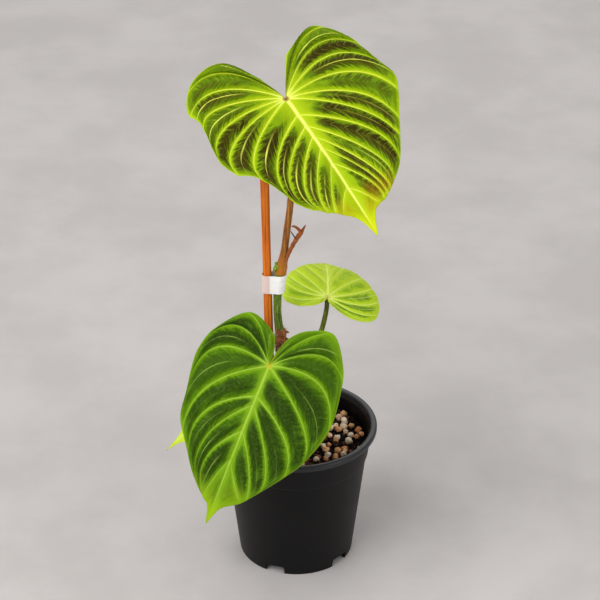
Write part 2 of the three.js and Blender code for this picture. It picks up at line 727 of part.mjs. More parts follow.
// Dried bract: a curled ribbon, closed on both faces
function makeCataphyll(room) {
  const curve = new THREE.CatmullRomCurve3(CATAPHYLL.map(([x, y, z]) => new THREE.Vector3(x, y, z)));
  const spans = CATAPHYLL.length - 1;
  const steps = spans * 3;
  const rings = [];
  for (let k = 0; k <= steps; k += 1) {
    const along = k / steps;
    const span = Math.min(Math.floor(along * spans), spans - 1);
    const part = along * spans - span;
    const half = THREE.MathUtils.lerp(CATAPHYLL[span][3], CATAPHYLL[span + 1][3], part);
    const turn = radians(THREE.MathUtils.lerp(CATAPHYLL[span][4], CATAPHYLL[span + 1][4], part));
    const centre = curve.getPoint(along);
    const tangent = curve.getTangent(along);
    const side = new THREE.Vector3(0, 1, 0).cross(tangent).normalize();
    const face = new THREE.Vector3().crossVectors(tangent, side);
    const across = side.clone().multiplyScalar(Math.cos(turn)).addScaledVector(face, Math.sin(turn));
    const out = new THREE.Vector3().crossVectors(tangent, across);
    const place = (x, lift) => centre.clone().addScaledVector(across, x * half)
      .addScaledVector(out, lift);
    const t = CATAPHYLL_THICKNESS;
    const curl = CATAPHYLL_CURL * half;
    rings.push([
      place(1, curl - t / 2),
      place(1, curl + t / 2),
      place(0, t / 2),
      place(-1, curl + t / 2),
      place(-1, curl - t / 2),
      place(0, -t / 2),
    ]);
  }
  const first = curve.getPoint(0).addScaledVector(curve.getTangent(0), -0.3);
  const last = curve.getPoint(1).addScaledVector(curve.getTangent(1), 0.6);
  let bract = solidFrom(skinOver(rings, first, last));
  for (const solid of room) bract = bract.subtract(solid);
  return geometryOf(largest(bract));
}

// The assembly
const group = new THREE.Group();

function addPiece(name, geometry, finish) {
  const mesh = new THREE.Mesh(geometry, new THREE.MeshStandardMaterial(finish));
  mesh.name = name;
  group.add(mesh);
}

const stem = stemSolid();
const stemRoom = stemSolid(GAP);
addPiece('pot', makePot(), FINISH.pot);
addPiece('potting_mix', makeSoil(), FINISH.soil);
addPiece('stake', stakeGeometry(), FINISH.stake);
addPiece('stem', geometryOf(stem), FINISH.stem);
addPiece('tape', makeTape(), FINISH.tape);

const tapeHeight = TAPE.top - TAPE.bottom + 2 * GAP;
const tapeBox = new THREE.BoxGeometry(TAPE_ROOM.width, TAPE_ROOM.depth, tapeHeight);
const tapeRoom = solidFrom(tapeBox.translate(TAPE_ROOM.x, 0, (TAPE.bottom + TAPE.top) / 2));
addPiece('petiole_top', petioleGeometry('top', stemRoom.add(tapeRoom)), FINISH.petiole);
addPiece('petiole_lower', petioleGeometry('lower', stemRoom), FINISH.youngPetiole);
addPiece('petiole_small', petioleGeometry('small', stemRoom), FINISH.youngPetiole);
addPiece('petiole_rear', petioleGeometry('rear', stemRoom), FINISH.youngPetiole);

addPiece('blade_top', bladeGeometry(BLADES.top), FINISH.blade);
addPiece('blade_lower', bladeGeometry(BLADES.lower), FINISH.darkBlade);
addPiece('blade_small', bladeGeometry(BLADES.small), FINISH.youngBlade);
addPiece('blade_rear', bladeGeometry(BLADES.rear), FINISH.youngBlade);

const topStalkRoom = solidFrom(stalk(PETIOLES.top, STALK_SIDES, 2, GAP));
addPiece('cataphyll', makeCataphyll([stemRoom, topStalkRoom, tapeRoom]), FINISH.bract);

export default group;
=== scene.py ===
# A climbing aroid with velvety heart-shaped leaves, tied to a stake in a round nursery pot.
# Sizes are in millimetres, in the frame of the CAD model, and meshes are scaled to metres.
# Colours are screen colours of 0 to 255, but the world's and the sheens' are linear ones.
import math
from itertools import product

import bmesh
import bpy
import numpy as np
from mathutils import Matrix, Vector, noise


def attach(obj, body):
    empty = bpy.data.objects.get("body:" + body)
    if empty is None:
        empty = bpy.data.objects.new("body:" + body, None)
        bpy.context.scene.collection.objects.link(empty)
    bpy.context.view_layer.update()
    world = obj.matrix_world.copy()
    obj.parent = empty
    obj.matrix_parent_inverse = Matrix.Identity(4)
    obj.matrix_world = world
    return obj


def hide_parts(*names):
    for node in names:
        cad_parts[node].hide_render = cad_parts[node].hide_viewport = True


MM = 0.001

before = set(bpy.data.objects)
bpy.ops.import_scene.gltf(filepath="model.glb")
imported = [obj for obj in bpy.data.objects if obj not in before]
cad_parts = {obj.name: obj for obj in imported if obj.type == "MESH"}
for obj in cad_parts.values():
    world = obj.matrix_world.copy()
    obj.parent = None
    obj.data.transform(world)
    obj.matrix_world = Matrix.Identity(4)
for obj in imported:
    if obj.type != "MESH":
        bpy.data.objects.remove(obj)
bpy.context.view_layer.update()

# Camera: the photograph's long lens, looking down on the pot from the front
CAMERA_PLACE = (0.00296, -1.6697, 1.209)
CAMERA_TILT = 59.2
CAMERA_LENS = 162
CAMERA_SENSOR = 36

# Lights, as name, place, size and power
LIGHTS = [
    ("key", (-1.2, -1.1, 1.7), 2.4, 51),
    ("fill", (1.4, -0.9, 1.0), 1.2, 9),
    ("back", (0.2, 1.5, 1.4), 1.4, 8),
]
LIGHT_AIM = (0, 0, 0.2)
WORLD_STRENGTH = 0.53

# Pot
POT_HEIGHT = 108
RIM_RADIUS = 60
LIP_DEPTH = 4
BAND_TOP = 56.4
BAND_FOOT = 53.5
BAND_FOOT_HEIGHT = 85
STEP_WIDTH = 1.2
STEP_DROP = 1.6
FOOT_RADIUS = 42.2
WALL = 1.6
PAD_RADIUS = 28
CHANNEL_INNER = 30
CHANNEL_HEIGHT = 6.5
POT_FLOOR = 1.6
NOTCHES = 5
NOTCH_BLOCK = (12, 14.6, 2 * CHANNEL_HEIGHT)
DRAIN_BLOCK = (5, 11, 12)
BLOCK_BEVEL = 1.4
FIRST_NOTCH = -112

# Potting mix
SOIL_LEVEL = 93.4
SOIL_SWELL = 1.6
SOIL_ROOM = 0.5
SOIL_DROP = 0.6
SOIL_ROUGHNESS = 0.9
LUMP_ROOM = 0.6
LUMP_TRIES = 60

# Where the stake and the stem stand in the mix, as (x, y, radius)
STANDING = [(-18.0, 0.0, 3.6), (-7.9, 0.7, 4.4)]

# Stake, stem and tape, as [x, y, z, radius]
STAKE_FOOT = (-16.6, 0, 17)
STAKE_HEAD = (-22.5, 0, 346)
STAKE_WIDTH = 6.2
STAKE_DEPTH = 4.8
STEM_LINE = [
    (-7.6, 1, 18, 3.4),
    (-7.8, 1, 70, 3.7),
    (-8, 0.5, 112, 4),
    (-10.5, 0.2, 150, 3.3),
    (-11.4, 0, 174, 3.7),
    (-11, -0.2, 181, 4),
    (-11.2, -0.3, 187, 4.1),
    (-12.4, -0.6, 192, 3.1),
    (-13.2, -0.8, 204, 2.9),
    (-13.2, -0.8, 217, 3),
    (-12.1, -0.4, 227, 3.4),
    (-11.6, -0.2, 235, 3.3),
    (-12.9, -0.6, 241, 2.4),
    (-14.2, -1.2, 245.5, 1),
]
COLLAR_X = -11.1
COLLAR_RADIUS = 3.4
ROOT_NUBS = [(24, 186, 3.2), (-20, 182, 3.8), (-62, 187, 2.8), (95, 184, 2.6), (252, 183, 2.4)]
BUD = [(-12.6, -2, 243, 1.9), (-14.6, -2.6, 241.4, 1.7), (-16.2, -2.8, 239.4, 0.5)]
TAPE_BOTTOM = 221
TAPE_TOP = 235.5
TAPE_THICKNESS = 0.45
TAPE_ROOM = 0.3
TAPE_FOOT = (-12.7, 3.95)
TAPE_HEAD = (-11.3, 4.2)
TAPE_SHOULDER = 0.9

# Leaf stalks
PETIOLES = {
    "top": [
        (-10.8, -0.6, 236.4, 4), (-10.2, -0.6, 241, 4.1), (-8.9, -0.6, 249, 3.2),
        (-7.8, -0.5, 257, 2.6), (-6.2, 0, 272, 2.5), (-4.1, 0, 290, 2.4),
        (-2.2, 1, 318, 2.3), (-2.6, 0, 345, 2.2), (-4.6, -5, 366, 2.1),
        (-6.5, -11.6, 380.2, 1.9),
    ],
    "lower": [
        (-9, -2.6, 116, 2.6), (-10, -7, 126, 2.4), (-12, -21, 151, 2.1),
        (-15.5, -35, 173, 2), (-18.8, -44.2, 185, 1.8),
    ],
    "small": [
        (-5.6, 3.2, 125, 2.2), (-3, 5, 130, 2.1), (8, 12, 150, 2), (18, 19, 174, 1.9),
        (22, 22.5, 190, 1.8), (22.9, 23.9, 201.3, 1.6),
    ],
    "rear": [
        (-12, -2.6, 109, 2.2), (-14, -4.5, 114, 2), (-25, -11, 132, 1.8),
        (-34, -14.8, 141.5, 1.7), (-37.6, -15.9, 144.5, 1.5),
    ],
}

# Dried bract, as [x, y, z, half width, turn]
CATAPHYLL = [
    (-7, -3.6, 246.5, 1.2, 30),
    (-5.6, -4.1, 251.5, 1.5, 30),
    (-3.9, -4.3, 256, 1.7, 30),
    (-1.4, -4.4, 261.6, 1.9, 28),
    (1.2, -4.5, 266.6, 2, 22),
    (3.4, -4.7, 270.8, 1.8, 10),
    (5, -4.8, 274.4, 1, -8),
    (6.9, -5, 278.2, 0.35, -15),
]
BRACT_THICKNESS = 0.35

# The bract's curled hook and the dark strand beside it, as [x, y, z, radius]
BRACT_HOOK = [
    (3.8, -4.9, 271.4, 1.2), (2.2, -5, 274.4, 1.15), (0.2, -5, 276.4, 0.9),
    (-1.6, -4.9, 277.2, 0.75), (-2.9, -4.7, 276.6, 0.4),
]
BRACT_STRAND = [
    (-3.6, -4.4, 272.9, 0.3), (-2.6, -4.9, 271.3, 0.45), (-1.2, -5.1, 269.2, 0.5), (0.2, -5.2, 267, 0.42),
]

# The rear blade's side veins, alike in its two halves
REAR_VEINS = [(0.5, -4, 0), (10.5, -16, 1.6), (19, -16, 3.2), (25, -4, 4.7), (22, 12, 6),
              (20, 24, 7.3), (15, 36, 8.5), (3, 41, 9.2), (0, 70, 11)]

# Blades: plus and minus are the margins of the two halves, from the notch at the back to the tip.
# Vein tables give each side vein's bend and where it ends, counted in margin stations.
BLADES = {
    "top": dict(
        seat=(-6.6, -12, 381), heading=37, dip=26.8, roll=-16.7, length=116, width=70,
        arch=15, droop=5, lobe_fall=0, quilt=3, fold=1.5,
        plus=[(7, -23), (24, -47), (48, -45), (62, -28), (60, -12), (64, 14),
              (60, 31), (47, 45), (34, 75), (21, 87), (6, 100), (0, 116)],
        minus=[(20, -31), (48, -41), (66, -20), (72, 1), (76, 22), (61, 49),
               (52, 64), (41, 80), (29, 90), (20, 96), (8, 101), (0, 116)],
        roots=[0, 0, 0, 0, 0, 0, 0, 15, 25, 34, 44, 57, 78, 116],
        plus_veins=[(4, -11.5, 0), (22, -58, 2.4), (39, -46, 3.3), (54, -29.5, 4.1), (64, -13.5, 5.25),
                    (67.5, 6, 6.15), (56, 23.5, 7.05), (48, 40, 7.8), (49, 55, 8.4), (38, 65.5, 8.8),
                    (26, 73, 9), (15.5, 80.5, 9.25), (6, 80, 9.5), (0, 116, 11)],
        minus_veins=[(9, -16, 0), (30.5, -44.5, 1.3), (47, -47, 2.4), (56, -34, 3.5), (61, -10, 4.35),
                     (58, 14, 5.1), (50, 32, 5.9), (54, 52, 6.9), (44, 75, 7.95), (32, 81.5, 8.5),
                     (27, 84.5, 8.95), (23.5, 87, 9.25), (7, 84, 9.55), (0, 116, 11)],
        plus_tint=(0.35, 0.5, 0.8, 0.4, 0.95, 0.85, 1, 0.9, 0.75, 0.75, 0.6, 0.75, 0.15),
        minus_tint=(0.25, 0.35, 1, 0.8, 0.5, 0.8, 1.1, 0.9, 0.35, 0.9, 1, 0.9, 0.35),
        columns=14, rings=72,
    ),
    "lower": dict(
        seat=(-19, -45, 186), heading=-36.7, dip=49.8, roll=25.3, length=121, width=60,
        arch=18, droop=6, lobe_fall=0, quilt=2.5, fold=1.5,
        plus=[(1.2, -13), (6.5, -23), (28, -30), (47, -9), (52, 8), (51, 23), (48, 40),
              (45, 58), (35, 73), (22, 91), (9, 104), (4, 108), (0, 121)],
        minus=[(1.3, -12), (6, -23.5), (16, -33), (34, -38), (48, -21), (54, -3), (57, 26),
               (49, 54), (40, 69), (30, 83), (18, 98), (6, 107), (0, 121)],
        roots=[0, 0, 0, 0, 0, 23.5, 29.5, 50, 71, 121],
        plus_veins=[(0.2, -7, 0), (18, -32.5, 2.15), (34.5, -36, 3.5), (53, -14.5, 5.6), (49, 27, 7.5),
                    (45, 43, 8.35), (36, 65, 9.25), (27.5, 76, 9.75), (5, 80, 9.9), (0, 121, 12)],
        minus_veins=[(0.2, -7, 0), (12, -29, 2.9), (35, -37, 4.75), (48.5, -16.5, 6.05), (58, 36, 7.3),
                     (45, 46, 8.1), (36, 73.5, 9.35), (21, 78.5, 9.8), (5, 84, 10), (0, 121, 12)],
        plus_tint=(0.4, 1, 0.9, 0.6, 0.9, 0.8, 0.8, 1, 0.6),
        minus_tint=(0.2, 0.7, 0.6, 1, 1, 0.9, 1, 0.8, 0.3),
        columns=20, rings=72,
    ),
    "small": dict(
        seat=(23, 24, 202), heading=178, dip=-10, roll=-9, length=70, width=36,
        arch=27, droop=5, lobe_fall=3, quilt=1.2, fold=0.8,
        plus=[(3, -9), (14, -19), (26, -20), (36, -13), (39, -1), (38, 12),
              (34, 24), (29, 35), (22, 45), (13, 54), (4, 61), (0, 70)],
        minus=[(3, -6), (10, -12), (21, -13), (30, -8), (33, 2), (32, 13),
               (30, 23), (26, 33), (20, 43), (13, 52), (4, 60), (0, 70)],
        roots=[0, 0, 0, 0, 0, 0, 16, 36, 70],
        plus_veins=[(0.5, -5, 0), (10, -22.5, 2.6), (22, -22, 3.6), (25.5, -10.5, 4.7), (18, 2, 6),
                    (12, 16, 7.3), (7, 34, 9), (3.5, 42, 9.3), (0, 70, 11)],
        minus_veins=[(0, -2.5, 0), (13, -11, 1.9), (18, -12.5, 3.8), (23, -3, 5.25), (20, 6, 6.2),
                     (13, 15, 7.3), (11, 29, 8.5), (3.5, 39.5, 9.2), (0, 70, 11)],
        plus_tint=(0.5, 0.9, 0.9, 0.8, 0.5, 0.4, 0.2, 0.1),
        minus_tint=(0.3, 0.4, 0.5, 0.3, 0.3, 0.2, 0.2, 0.1),
        columns=12, rings=44,
    ),
    "rear": dict(
        seat=(-38, -16, 145), heading=-74, dip=25, roll=16, length=70, width=30,
        arch=14.6, droop=4, lobe_fall=0, quilt=1.2, fold=0.8,
        plus=[(2.5, -8), (10, -15), (19, -16), (26, -11), (30, 0), (31, 11),
              (28, 22), (23, 33), (15, 43), (6.5, 51), (2, 58), (0, 70)],
        minus=[(2.5, -8), (10, -15), (19, -16), (26, -11), (30, 0), (31, 11),
               (29, 22), (25, 33), (19, 43), (11, 51), (4, 58), (0, 70)],
        roots=[0, 0, 0, 0, 0, 8, 20, 36, 70],
        plus_veins=REAR_VEINS,
        minus_veins=REAR_VEINS,
        plus_tint=(0.3,) * 8,
        minus_tint=(0.3,) * 8,
        columns=12, rings=44,
    ),
}
BLADE_THICKNESS = 0.6
RIM_BULGE = 0.14
BLADE_DROP = 0.1
PLACE_SCALE = 32
HALF_SHIFT = 16


def linear(red, green, blue):
    """A screen colour of 0 to 255 as the linear colour that shaders take."""
    def channel(value):
        share = value / 255
        return share / 12.92 if share <= 0.04045 else ((share + 0.055) / 1.055) ** 2.4
    return (channel(red), channel(green), channel(blue), 1)


class Value:
    """A node's output. Its sums, products and fades are further nodes of the same shader."""

    def __init__(self, shader, socket):
        self.shader = shader
        self.socket = socket

    def __add__(self, other):
        return self.shader.math("ADD", self, other)

    def __sub__(self, other):
        return self.shader.math("SUBTRACT", self, other)

    def __rsub__(self, other):
        return self.shader.math("SUBTRACT", other, self)

    def __mul__(self, other):
        return self.shader.math("MULTIPLY", self, other)

    def __truediv__(self, other):
        return self.shader.math("DIVIDE", self, other)

    def __abs__(self):
        return self.shader.math("ABSOLUTE", self)

    def centred(self, gain):
        """A value of 0 to 1 as one that swings about 0."""
        return (self - 0.5) * gain

    def fade(self, low, high):
        """0 below low, 1 above high, smooth between; falling where low is above high."""
        inputs = [("Value", self), ("From Min", low), ("From Max", high)]
        return self.shader.node("ShaderNodeMapRange", inputs, "Result", interpolation_type="SMOOTHSTEP")

    def mix(self, share, colour, blend="MIX"):
        return self.shader.mix(share, self, colour, blend)

    def ramp(self, *stops):
        """A colour from (place, colour) stops along 0 to 1."""
        made = self.shader.node("ShaderNodeValToRGB", [(0, self)], "Color")
        marks = made.socket.node.color_ramp.elements
        while len(marks) < len(stops):
            marks.new(1)
        for mark, (place, colour) in zip(marks, stops):
            mark.position = place
            mark.color = linear(*colour)
        return made


class Shader:
    """A node material, built by short calls. Noise and cells lie over the object's own place."""

    def __init__(self, name, **settings):
        self.material = bpy.data.materials.new(name)
        self.material.use_nodes = True
        self.tree = self.material.node_tree
        self.base = self.tree.nodes["Principled BSDF"]
        for socket, value in settings.items():
            self.base.inputs[socket.replace("_", " ")].default_value = value

    def node(self, kind, inputs=(), output=0, **settings):
        made = self.tree.nodes.new(kind)
        for key, value in settings.items():
            setattr(made, key, value)
        for socket, value in inputs:
            self.put(made.inputs[socket], value)
        return Value(self, made.outputs[output])

    def put(self, socket, value):
        if isinstance(value, Value):
            self.tree.links.new(value.socket, socket)
        elif socket.type == "RGBA":
            socket.default_value = linear(*value)
        else:
            socket.default_value = value

    def math(self, operation, first, second=0.0, clamp=False):
        inputs = [(0, first), (1, second)]
        return self.node("ShaderNodeMath", inputs, operation=operation, use_clamp=clamp)

    def mix(self, share, first, second, blend="MIX"):
        inputs = [(0, share), (6, first), (7, second)]
        return self.node("ShaderNodeMix", inputs, 2, data_type="RGBA", blend_type=blend)

    def attribute(self, name):
        return self.node("ShaderNodeAttribute", output="Fac", attribute_name=name)

    def coords(self, stretch=(1, 1, 1)):
        source = self.node("ShaderNodeTexCoord", output="Object")
        return self.node("ShaderNodeMapping", [("Vector", source), ("Scale", stretch)])

    def part(self, axis, vector=None):
        """One coordinate of a vector, or of the object's own place in metres."""
        return self.node("ShaderNodeSeparateXYZ", [(0, vector or self.coords())], axis)

    def vector(self, x, y, z=0.0):
        return self.node("ShaderNodeCombineXYZ", [(0, x), (1, y), (2, z)])

    def noise(self, scale, detail, rough=0.55, stretch=(1, 1, 1), vector=None):
        inputs = [("Vector", vector or self.coords(stretch)), ("Scale", scale),
                  ("Detail", detail), ("Roughness", rough)]
        return self.node("ShaderNodeTexNoise", inputs, "Fac")

    def cells(self, scale, feature="F1"):
        inputs = [("Vector", self.coords()), ("Scale", scale)]
        return self.node("ShaderNodeTexVoronoi", inputs, "Distance", feature=feature)

    def bump(self, height, distance, strength=1.0, after=None):
        inputs = [("Height", height), ("Distance", distance), ("Strength", strength)]
        if after is not None:
            inputs.append(("Normal", after))
        return self.node("ShaderNodeBump", inputs)

    def finish(self, **links):
        for socket, value in links.items():
            self.put(self.base.inputs[socket.replace("_", " ")], value)
        return self.material


# Mesh making
def add_piece(name, points, faces, materials, slot, node=None, face_materials=None):
    """A mesh object from points in millimetres, which rides on the root body."""
    mesh = bpy.data.meshes.new(name)
    mesh.from_pydata((np.asarray(points, float) * MM).tolist(), [], faces)
    for material in materials:
        mesh.materials.append(material)
    if face_materials is not None:
        mesh.polygons.foreach_set("material_index", face_materials)
    mesh.polygons.foreach_set("use_smooth", [True] * len(mesh.polygons))
    mesh.update()
    piece = bpy.data.objects.new(name, mesh)
    bpy.context.scene.collection.objects.link(piece)
    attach(piece, "root")
    if node is not None:
        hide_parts(node)
    return piece


def set_attribute(piece, name, values):
    layer = piece.data.attributes.new(name, "FLOAT", "POINT")
    layer.data.foreach_set("value", np.asarray(values, np.float32))


def set_uv(piece, name, per_corner):
    layer = piece.data.uv_layers.new(name=name)
    layer.data.foreach_set("uv", np.asarray(per_corner, np.float32).ravel())


def spline_at(line, place):
    """A Catmull-Rom curve through the rows of line, of any width, at places counted in rows."""
    rows = np.asarray(line, float)
    padded = np.vstack([2 * rows[0] - rows[1], rows, 2 * rows[-1] - rows[-2]])
    span = np.minimum(place.astype(int), len(rows) - 2)
    f = (place - span)[:, None]
    a, b, c, d = (padded[span + k] for k in range(4))
    return 0.5 * (2 * b + (c - a) * f + (2 * a - 5 * b + 4 * c - d) * f ** 2
                  + (3 * b - a - 3 * c + d) * f ** 3)


def smooth_line(line, steps_per_span):
    spans = len(line) - 1
    return spline_at(line, np.linspace(0, spans, spans * steps_per_span + 1))


def frames_along(centres, reference=(0, 1, 0)):
    tangent = np.gradient(centres, axis=0)
    tangent /= np.linalg.norm(tangent, axis=1)[:, None]
    across = np.cross(np.array(reference, float), tangent)
    across /= np.linalg.norm(across, axis=1)[:, None]
    return tangent, across, np.cross(tangent, across)


def turns_of(count):
    """Even steps round a circle, in radians."""
    return np.arange(count) / count * 2 * math.pi


def ring_faces(rings, size, closed=False):
    """Quads from each ring of points to the next, and where closed from the last to the first."""
    faces = []
    for k in range(rings if closed else rings - 1):
        after = (k + 1) % rings
        for i in range(size):
            j = (i + 1) % size
            faces.append((k * size + i, k * size + j, after * size + j, after * size + i))
    return faces


def end_fans(rings, size):
    """Triangles that close the first and last ring on two points, which follow all the rings."""
    faces = []
    last = (rings - 1) * size
    for i in range(size):
        j = (i + 1) % size
        faces += [(rings * size, j, i), (rings * size + 1, last + i, last + j)]
    return faces


def ring_corners(heights, size):
    """Corner UVs for ring_faces: the way round, and each ring's height."""
    corners = []
    for low, high in zip(heights, heights[1:]):
        for i in range(size):
            left, right = i / size, (i + 1) / size
            corners += [(left, low), (right, low), (right, high), (left, high)]
    return corners


def tube(line, sides, steps_per_span, shape=None, reference=(0, 1, 0)):
    """Points, faces and corner UVs of a closed stalk. shape(angle, length, centre) adds to its radius."""
    rows = smooth_line(line, steps_per_span)
    centres = rows[:, :3]
    radius = np.maximum(rows[:, 3], 0.2)
    tangent, across, depth = frames_along(centres, reference)
    length = np.concatenate([[0], np.cumsum(np.linalg.norm(np.diff(centres, axis=0), axis=1))])
    angle = turns_of(sides)
    reach = np.repeat(radius[:, None], sides, axis=1)
    if shape is not None:
        reach = reach + shape(angle[None, :], length[:, None], centres[:, None, :])
    rings = (centres[:, None, :]
             + across[:, None, :] * (reach * np.cos(angle))[:, :, None]
             + depth[:, None, :] * (reach * np.sin(angle))[:, :, None])
    first = centres[0] - tangent[0] * 0.35 * radius[0]
    last = centres[-1] + tangent[-1] * 0.6 * radius[-1]
    points = np.vstack([rings.reshape(-1, 3), first, last])
    faces = ring_faces(len(rows), sides) + end_fans(len(rows), sides)
    corners = ring_corners([value * MM for value in length], sides)
    corners += ([(0.5, 0)] * 3 + [(0.5, length[-1] * MM)] * 3) * sides
    return points, faces, corners


def merge_parts(parts):
    """Several (points, faces) pairs as one."""
    faces = []
    start = 0
    for points, part_faces in parts:
        faces += [tuple(index + start for index in face) for face in part_faces]
        start += len(points)
    return np.vstack([points for points, _ in parts]), faces


def hairs_on(line, count, length, thickness, seed, window=(0.03, 0.97), lean=0.35):
    """Fine three-sided bristles standing on a stalk."""
    rng = np.random.default_rng(seed)
    rows = smooth_line(line, 12)
    centres = rows[:, :3]
    tangent, across, depth = frames_along(centres)
    faces = [(2, 1, 0)]
    for i in range(3):
        j = (i + 1) % 3
        faces += [(i, j, j + 3, i + 3), (i + 3, j + 3, 6)]
    parts = []
    for _ in range(count):
        k = int(rng.uniform(*window) * (len(rows) - 1))
        turn = rng.uniform(0, 2 * math.pi)
        out = across[k] * math.cos(turn) + depth[k] * math.sin(turn)
        side = np.cross(tangent[k], out)
        root = centres[k] + out * (rows[k, 3] - 0.1)
        tall = length * rng.uniform(0.5, 1.25)
        way = out + tangent[k] * (lean + rng.uniform(-0.45, 0.45)) + side * rng.uniform(-0.35, 0.35)
        way /= np.linalg.norm(way)
        bend = tangent[k] * rng.uniform(-0.15, 0.4) * tall
        ring = [thickness * (side * math.cos(a) + tangent[k] * math.sin(a)) for a in (0, 2.1, 4.2)]
        middle = root + way * tall * 0.55 + bend * 0.25
        points = [root + corner for corner in ring] + [middle + 0.6 * corner for corner in ring]
        parts.append((np.array(points + [root + way * tall + bend]), faces))
    return merge_parts(parts)


# Camera, light and floor
def make_stage():
    scene = bpy.context.scene
    camera_data = bpy.data.cameras.new("camera")
    camera_data.lens = CAMERA_LENS
    camera_data.sensor_width = CAMERA_SENSOR
    camera_data.clip_end = 20
    camera = bpy.data.objects.new("camera", camera_data)
    camera.location = CAMERA_PLACE
    camera.rotation_euler = (math.radians(CAMERA_TILT), 0, 0)
    scene.collection.objects.link(camera)
    scene.camera = camera
    scene.view_settings.view_transform = "Standard"
    for name, place, size, power in LIGHTS:
        data = bpy.data.lights.new(name, "AREA")
        data.shape = "DISK"
        data.size = size
        data.energy = power
        light = bpy.data.objects.new(name, data)
        light.location = place
        aim = Vector(LIGHT_AIM) - Vector(place)
        light.rotation_euler = aim.to_track_quat("-Z", "Y").to_euler()
        scene.collection.objects.link(light)

    world = bpy.data.worlds.new("studio")
    world.use_nodes = True
    backdrop = world.node_tree.nodes["Background"]
    backdrop.inputs["Color"].default_value = (0.9, 0.9, 0.9, 1)
    backdrop.inputs["Strength"].default_value = WORLD_STRENGTH
    scene.world = world

    bpy.ops.mesh.primitive_plane_add(size=8)
    floor = bpy.context.object
    floor.name = "floor"
    shader = Shader("pale_floor", Roughness=0.75)
    mottle = shader.noise(9, 6, 0.6).fade(0.35, 0.65)
    tone = shader.mix(mottle, (180, 175, 172), (190, 185, 182))
    floor.data.materials.append(shader.finish(Base_Color=tone))


# Pot
def pot_wall_radius(height):
    if height >= BAND_FOOT_HEIGHT:
        share = (height - BAND_FOOT_HEIGHT) / (POT_HEIGHT - LIP_DEPTH - BAND_FOOT_HEIGHT)
        return BAND_FOOT + (BAND_TOP - BAND_FOOT) * share
    share = min(1, height / (BAND_FOOT_HEIGHT - STEP_DROP))
    return FOOT_RADIUS + (BAND_FOOT - STEP_WIDTH - FOOT_RADIUS) * share


def pot_inner_radius(height):
    return pot_wall_radius(height) - WALL


def arc(centre, radius, start, stop, steps):
    turns = np.radians(np.linspace(start, stop, steps))
    return [(centre[0] + radius * math.cos(t), centre[1] + radius * math.sin(t)) for t in turns]


def pot_profile():
    """Radius and height round the section of the wall, from the pad's middle to the floor's."""
    lip_foot = POT_HEIGHT - LIP_DEPTH
    body_top = BAND_FOOT_HEIGHT - STEP_DROP
    channel_outer = FOOT_RADIUS - WALL
    floor_top = CHANNEL_HEIGHT + POT_FLOOR
    profile = [(0.01, 0), (PAD_RADIUS - 0.6, 0)]
    profile += [(PAD_RADIUS, 0.25), (CHANNEL_INNER, CHANNEL_HEIGHT - 0.4)]
    profile += [(CHANNEL_INNER + 0.6, CHANNEL_HEIGHT), (channel_outer - 0.5, CHANNEL_HEIGHT)]
    profile += [(channel_outer, CHANNEL_HEIGHT - 0.5)]
    profile += arc((channel_outer + 0.1, 0.5), 0.5, 180, 270, 4)
    profile += arc((FOOT_RADIUS - 0.6, 0.6), 0.6, 270, 360, 5)
    profile += [(pot_wall_radius(h), h) for h in np.linspace(4, body_top - 0.5, 12)]
    profile += [(pot_wall_radius(body_top), body_top)]
    profile += arc((BAND_FOOT - 0.7, BAND_FOOT_HEIGHT + 0.1), 0.7, 300, 360, 5)
    profile += [(pot_wall_radius(h), h) for h in np.linspace(BAND_FOOT_HEIGHT + 1.5, lip_foot - 0.8, 10)]
    profile += arc((BAND_TOP + 0.9, lip_foot - 0.6), 0.8, 180, 90, 4)
    profile += arc((RIM_RADIUS - 1, lip_foot + 0.8), 1, 270, 360, 5)
    profile += arc((RIM_RADIUS - 1.6, POT_HEIGHT - 1.6), 1.6, 0, 90, 7)
    profile += arc((RIM_RADIUS - 3.6, POT_HEIGHT - 1.4), 1.3, 88, 175, 6)
    inner = RIM_RADIUS - LIP_DEPTH - 0.9
    profile += [(inner, POT_HEIGHT - 2.2), (pot_inner_radius(lip_foot - 1), lip_foot - 1.2)]
    profile += [(pot_inner_radius(h), h) for h in (98, 93, BAND_FOOT_HEIGHT + 4)]
    profile += [(pot_inner_radius(h), h) for h in (BAND_FOOT_HEIGHT - 4, 50, 30, floor_top + 1)]
    profile += [(pot_inner_radius(floor_top) - 1, floor_top), (CHANNEL_INNER - 1, floor_top)]
    profile += [(PAD_RADIUS - 2, POT_FLOOR + 0.3), (PAD_RADIUS - 3, POT_FLOOR), (0.01, POT_FLOOR)]
    return profile


def lathe(profile, segments):
    """Points and faces of a profile turned round the Z axis, on which its two end rows lie."""
    turns = turns_of(segments)
    rings = [[(r * math.cos(t), r * math.sin(t), z) for t in turns] for r, z in profile[1:-1]]
    ends = [(0, 0, profile[0][1]), (0, 0, profile[-1][1])]
    points = np.vstack([np.array(rings).reshape(-1, 3), ends])
    return points, ring_faces(len(rings), segments) + end_fans(len(rings), segments)


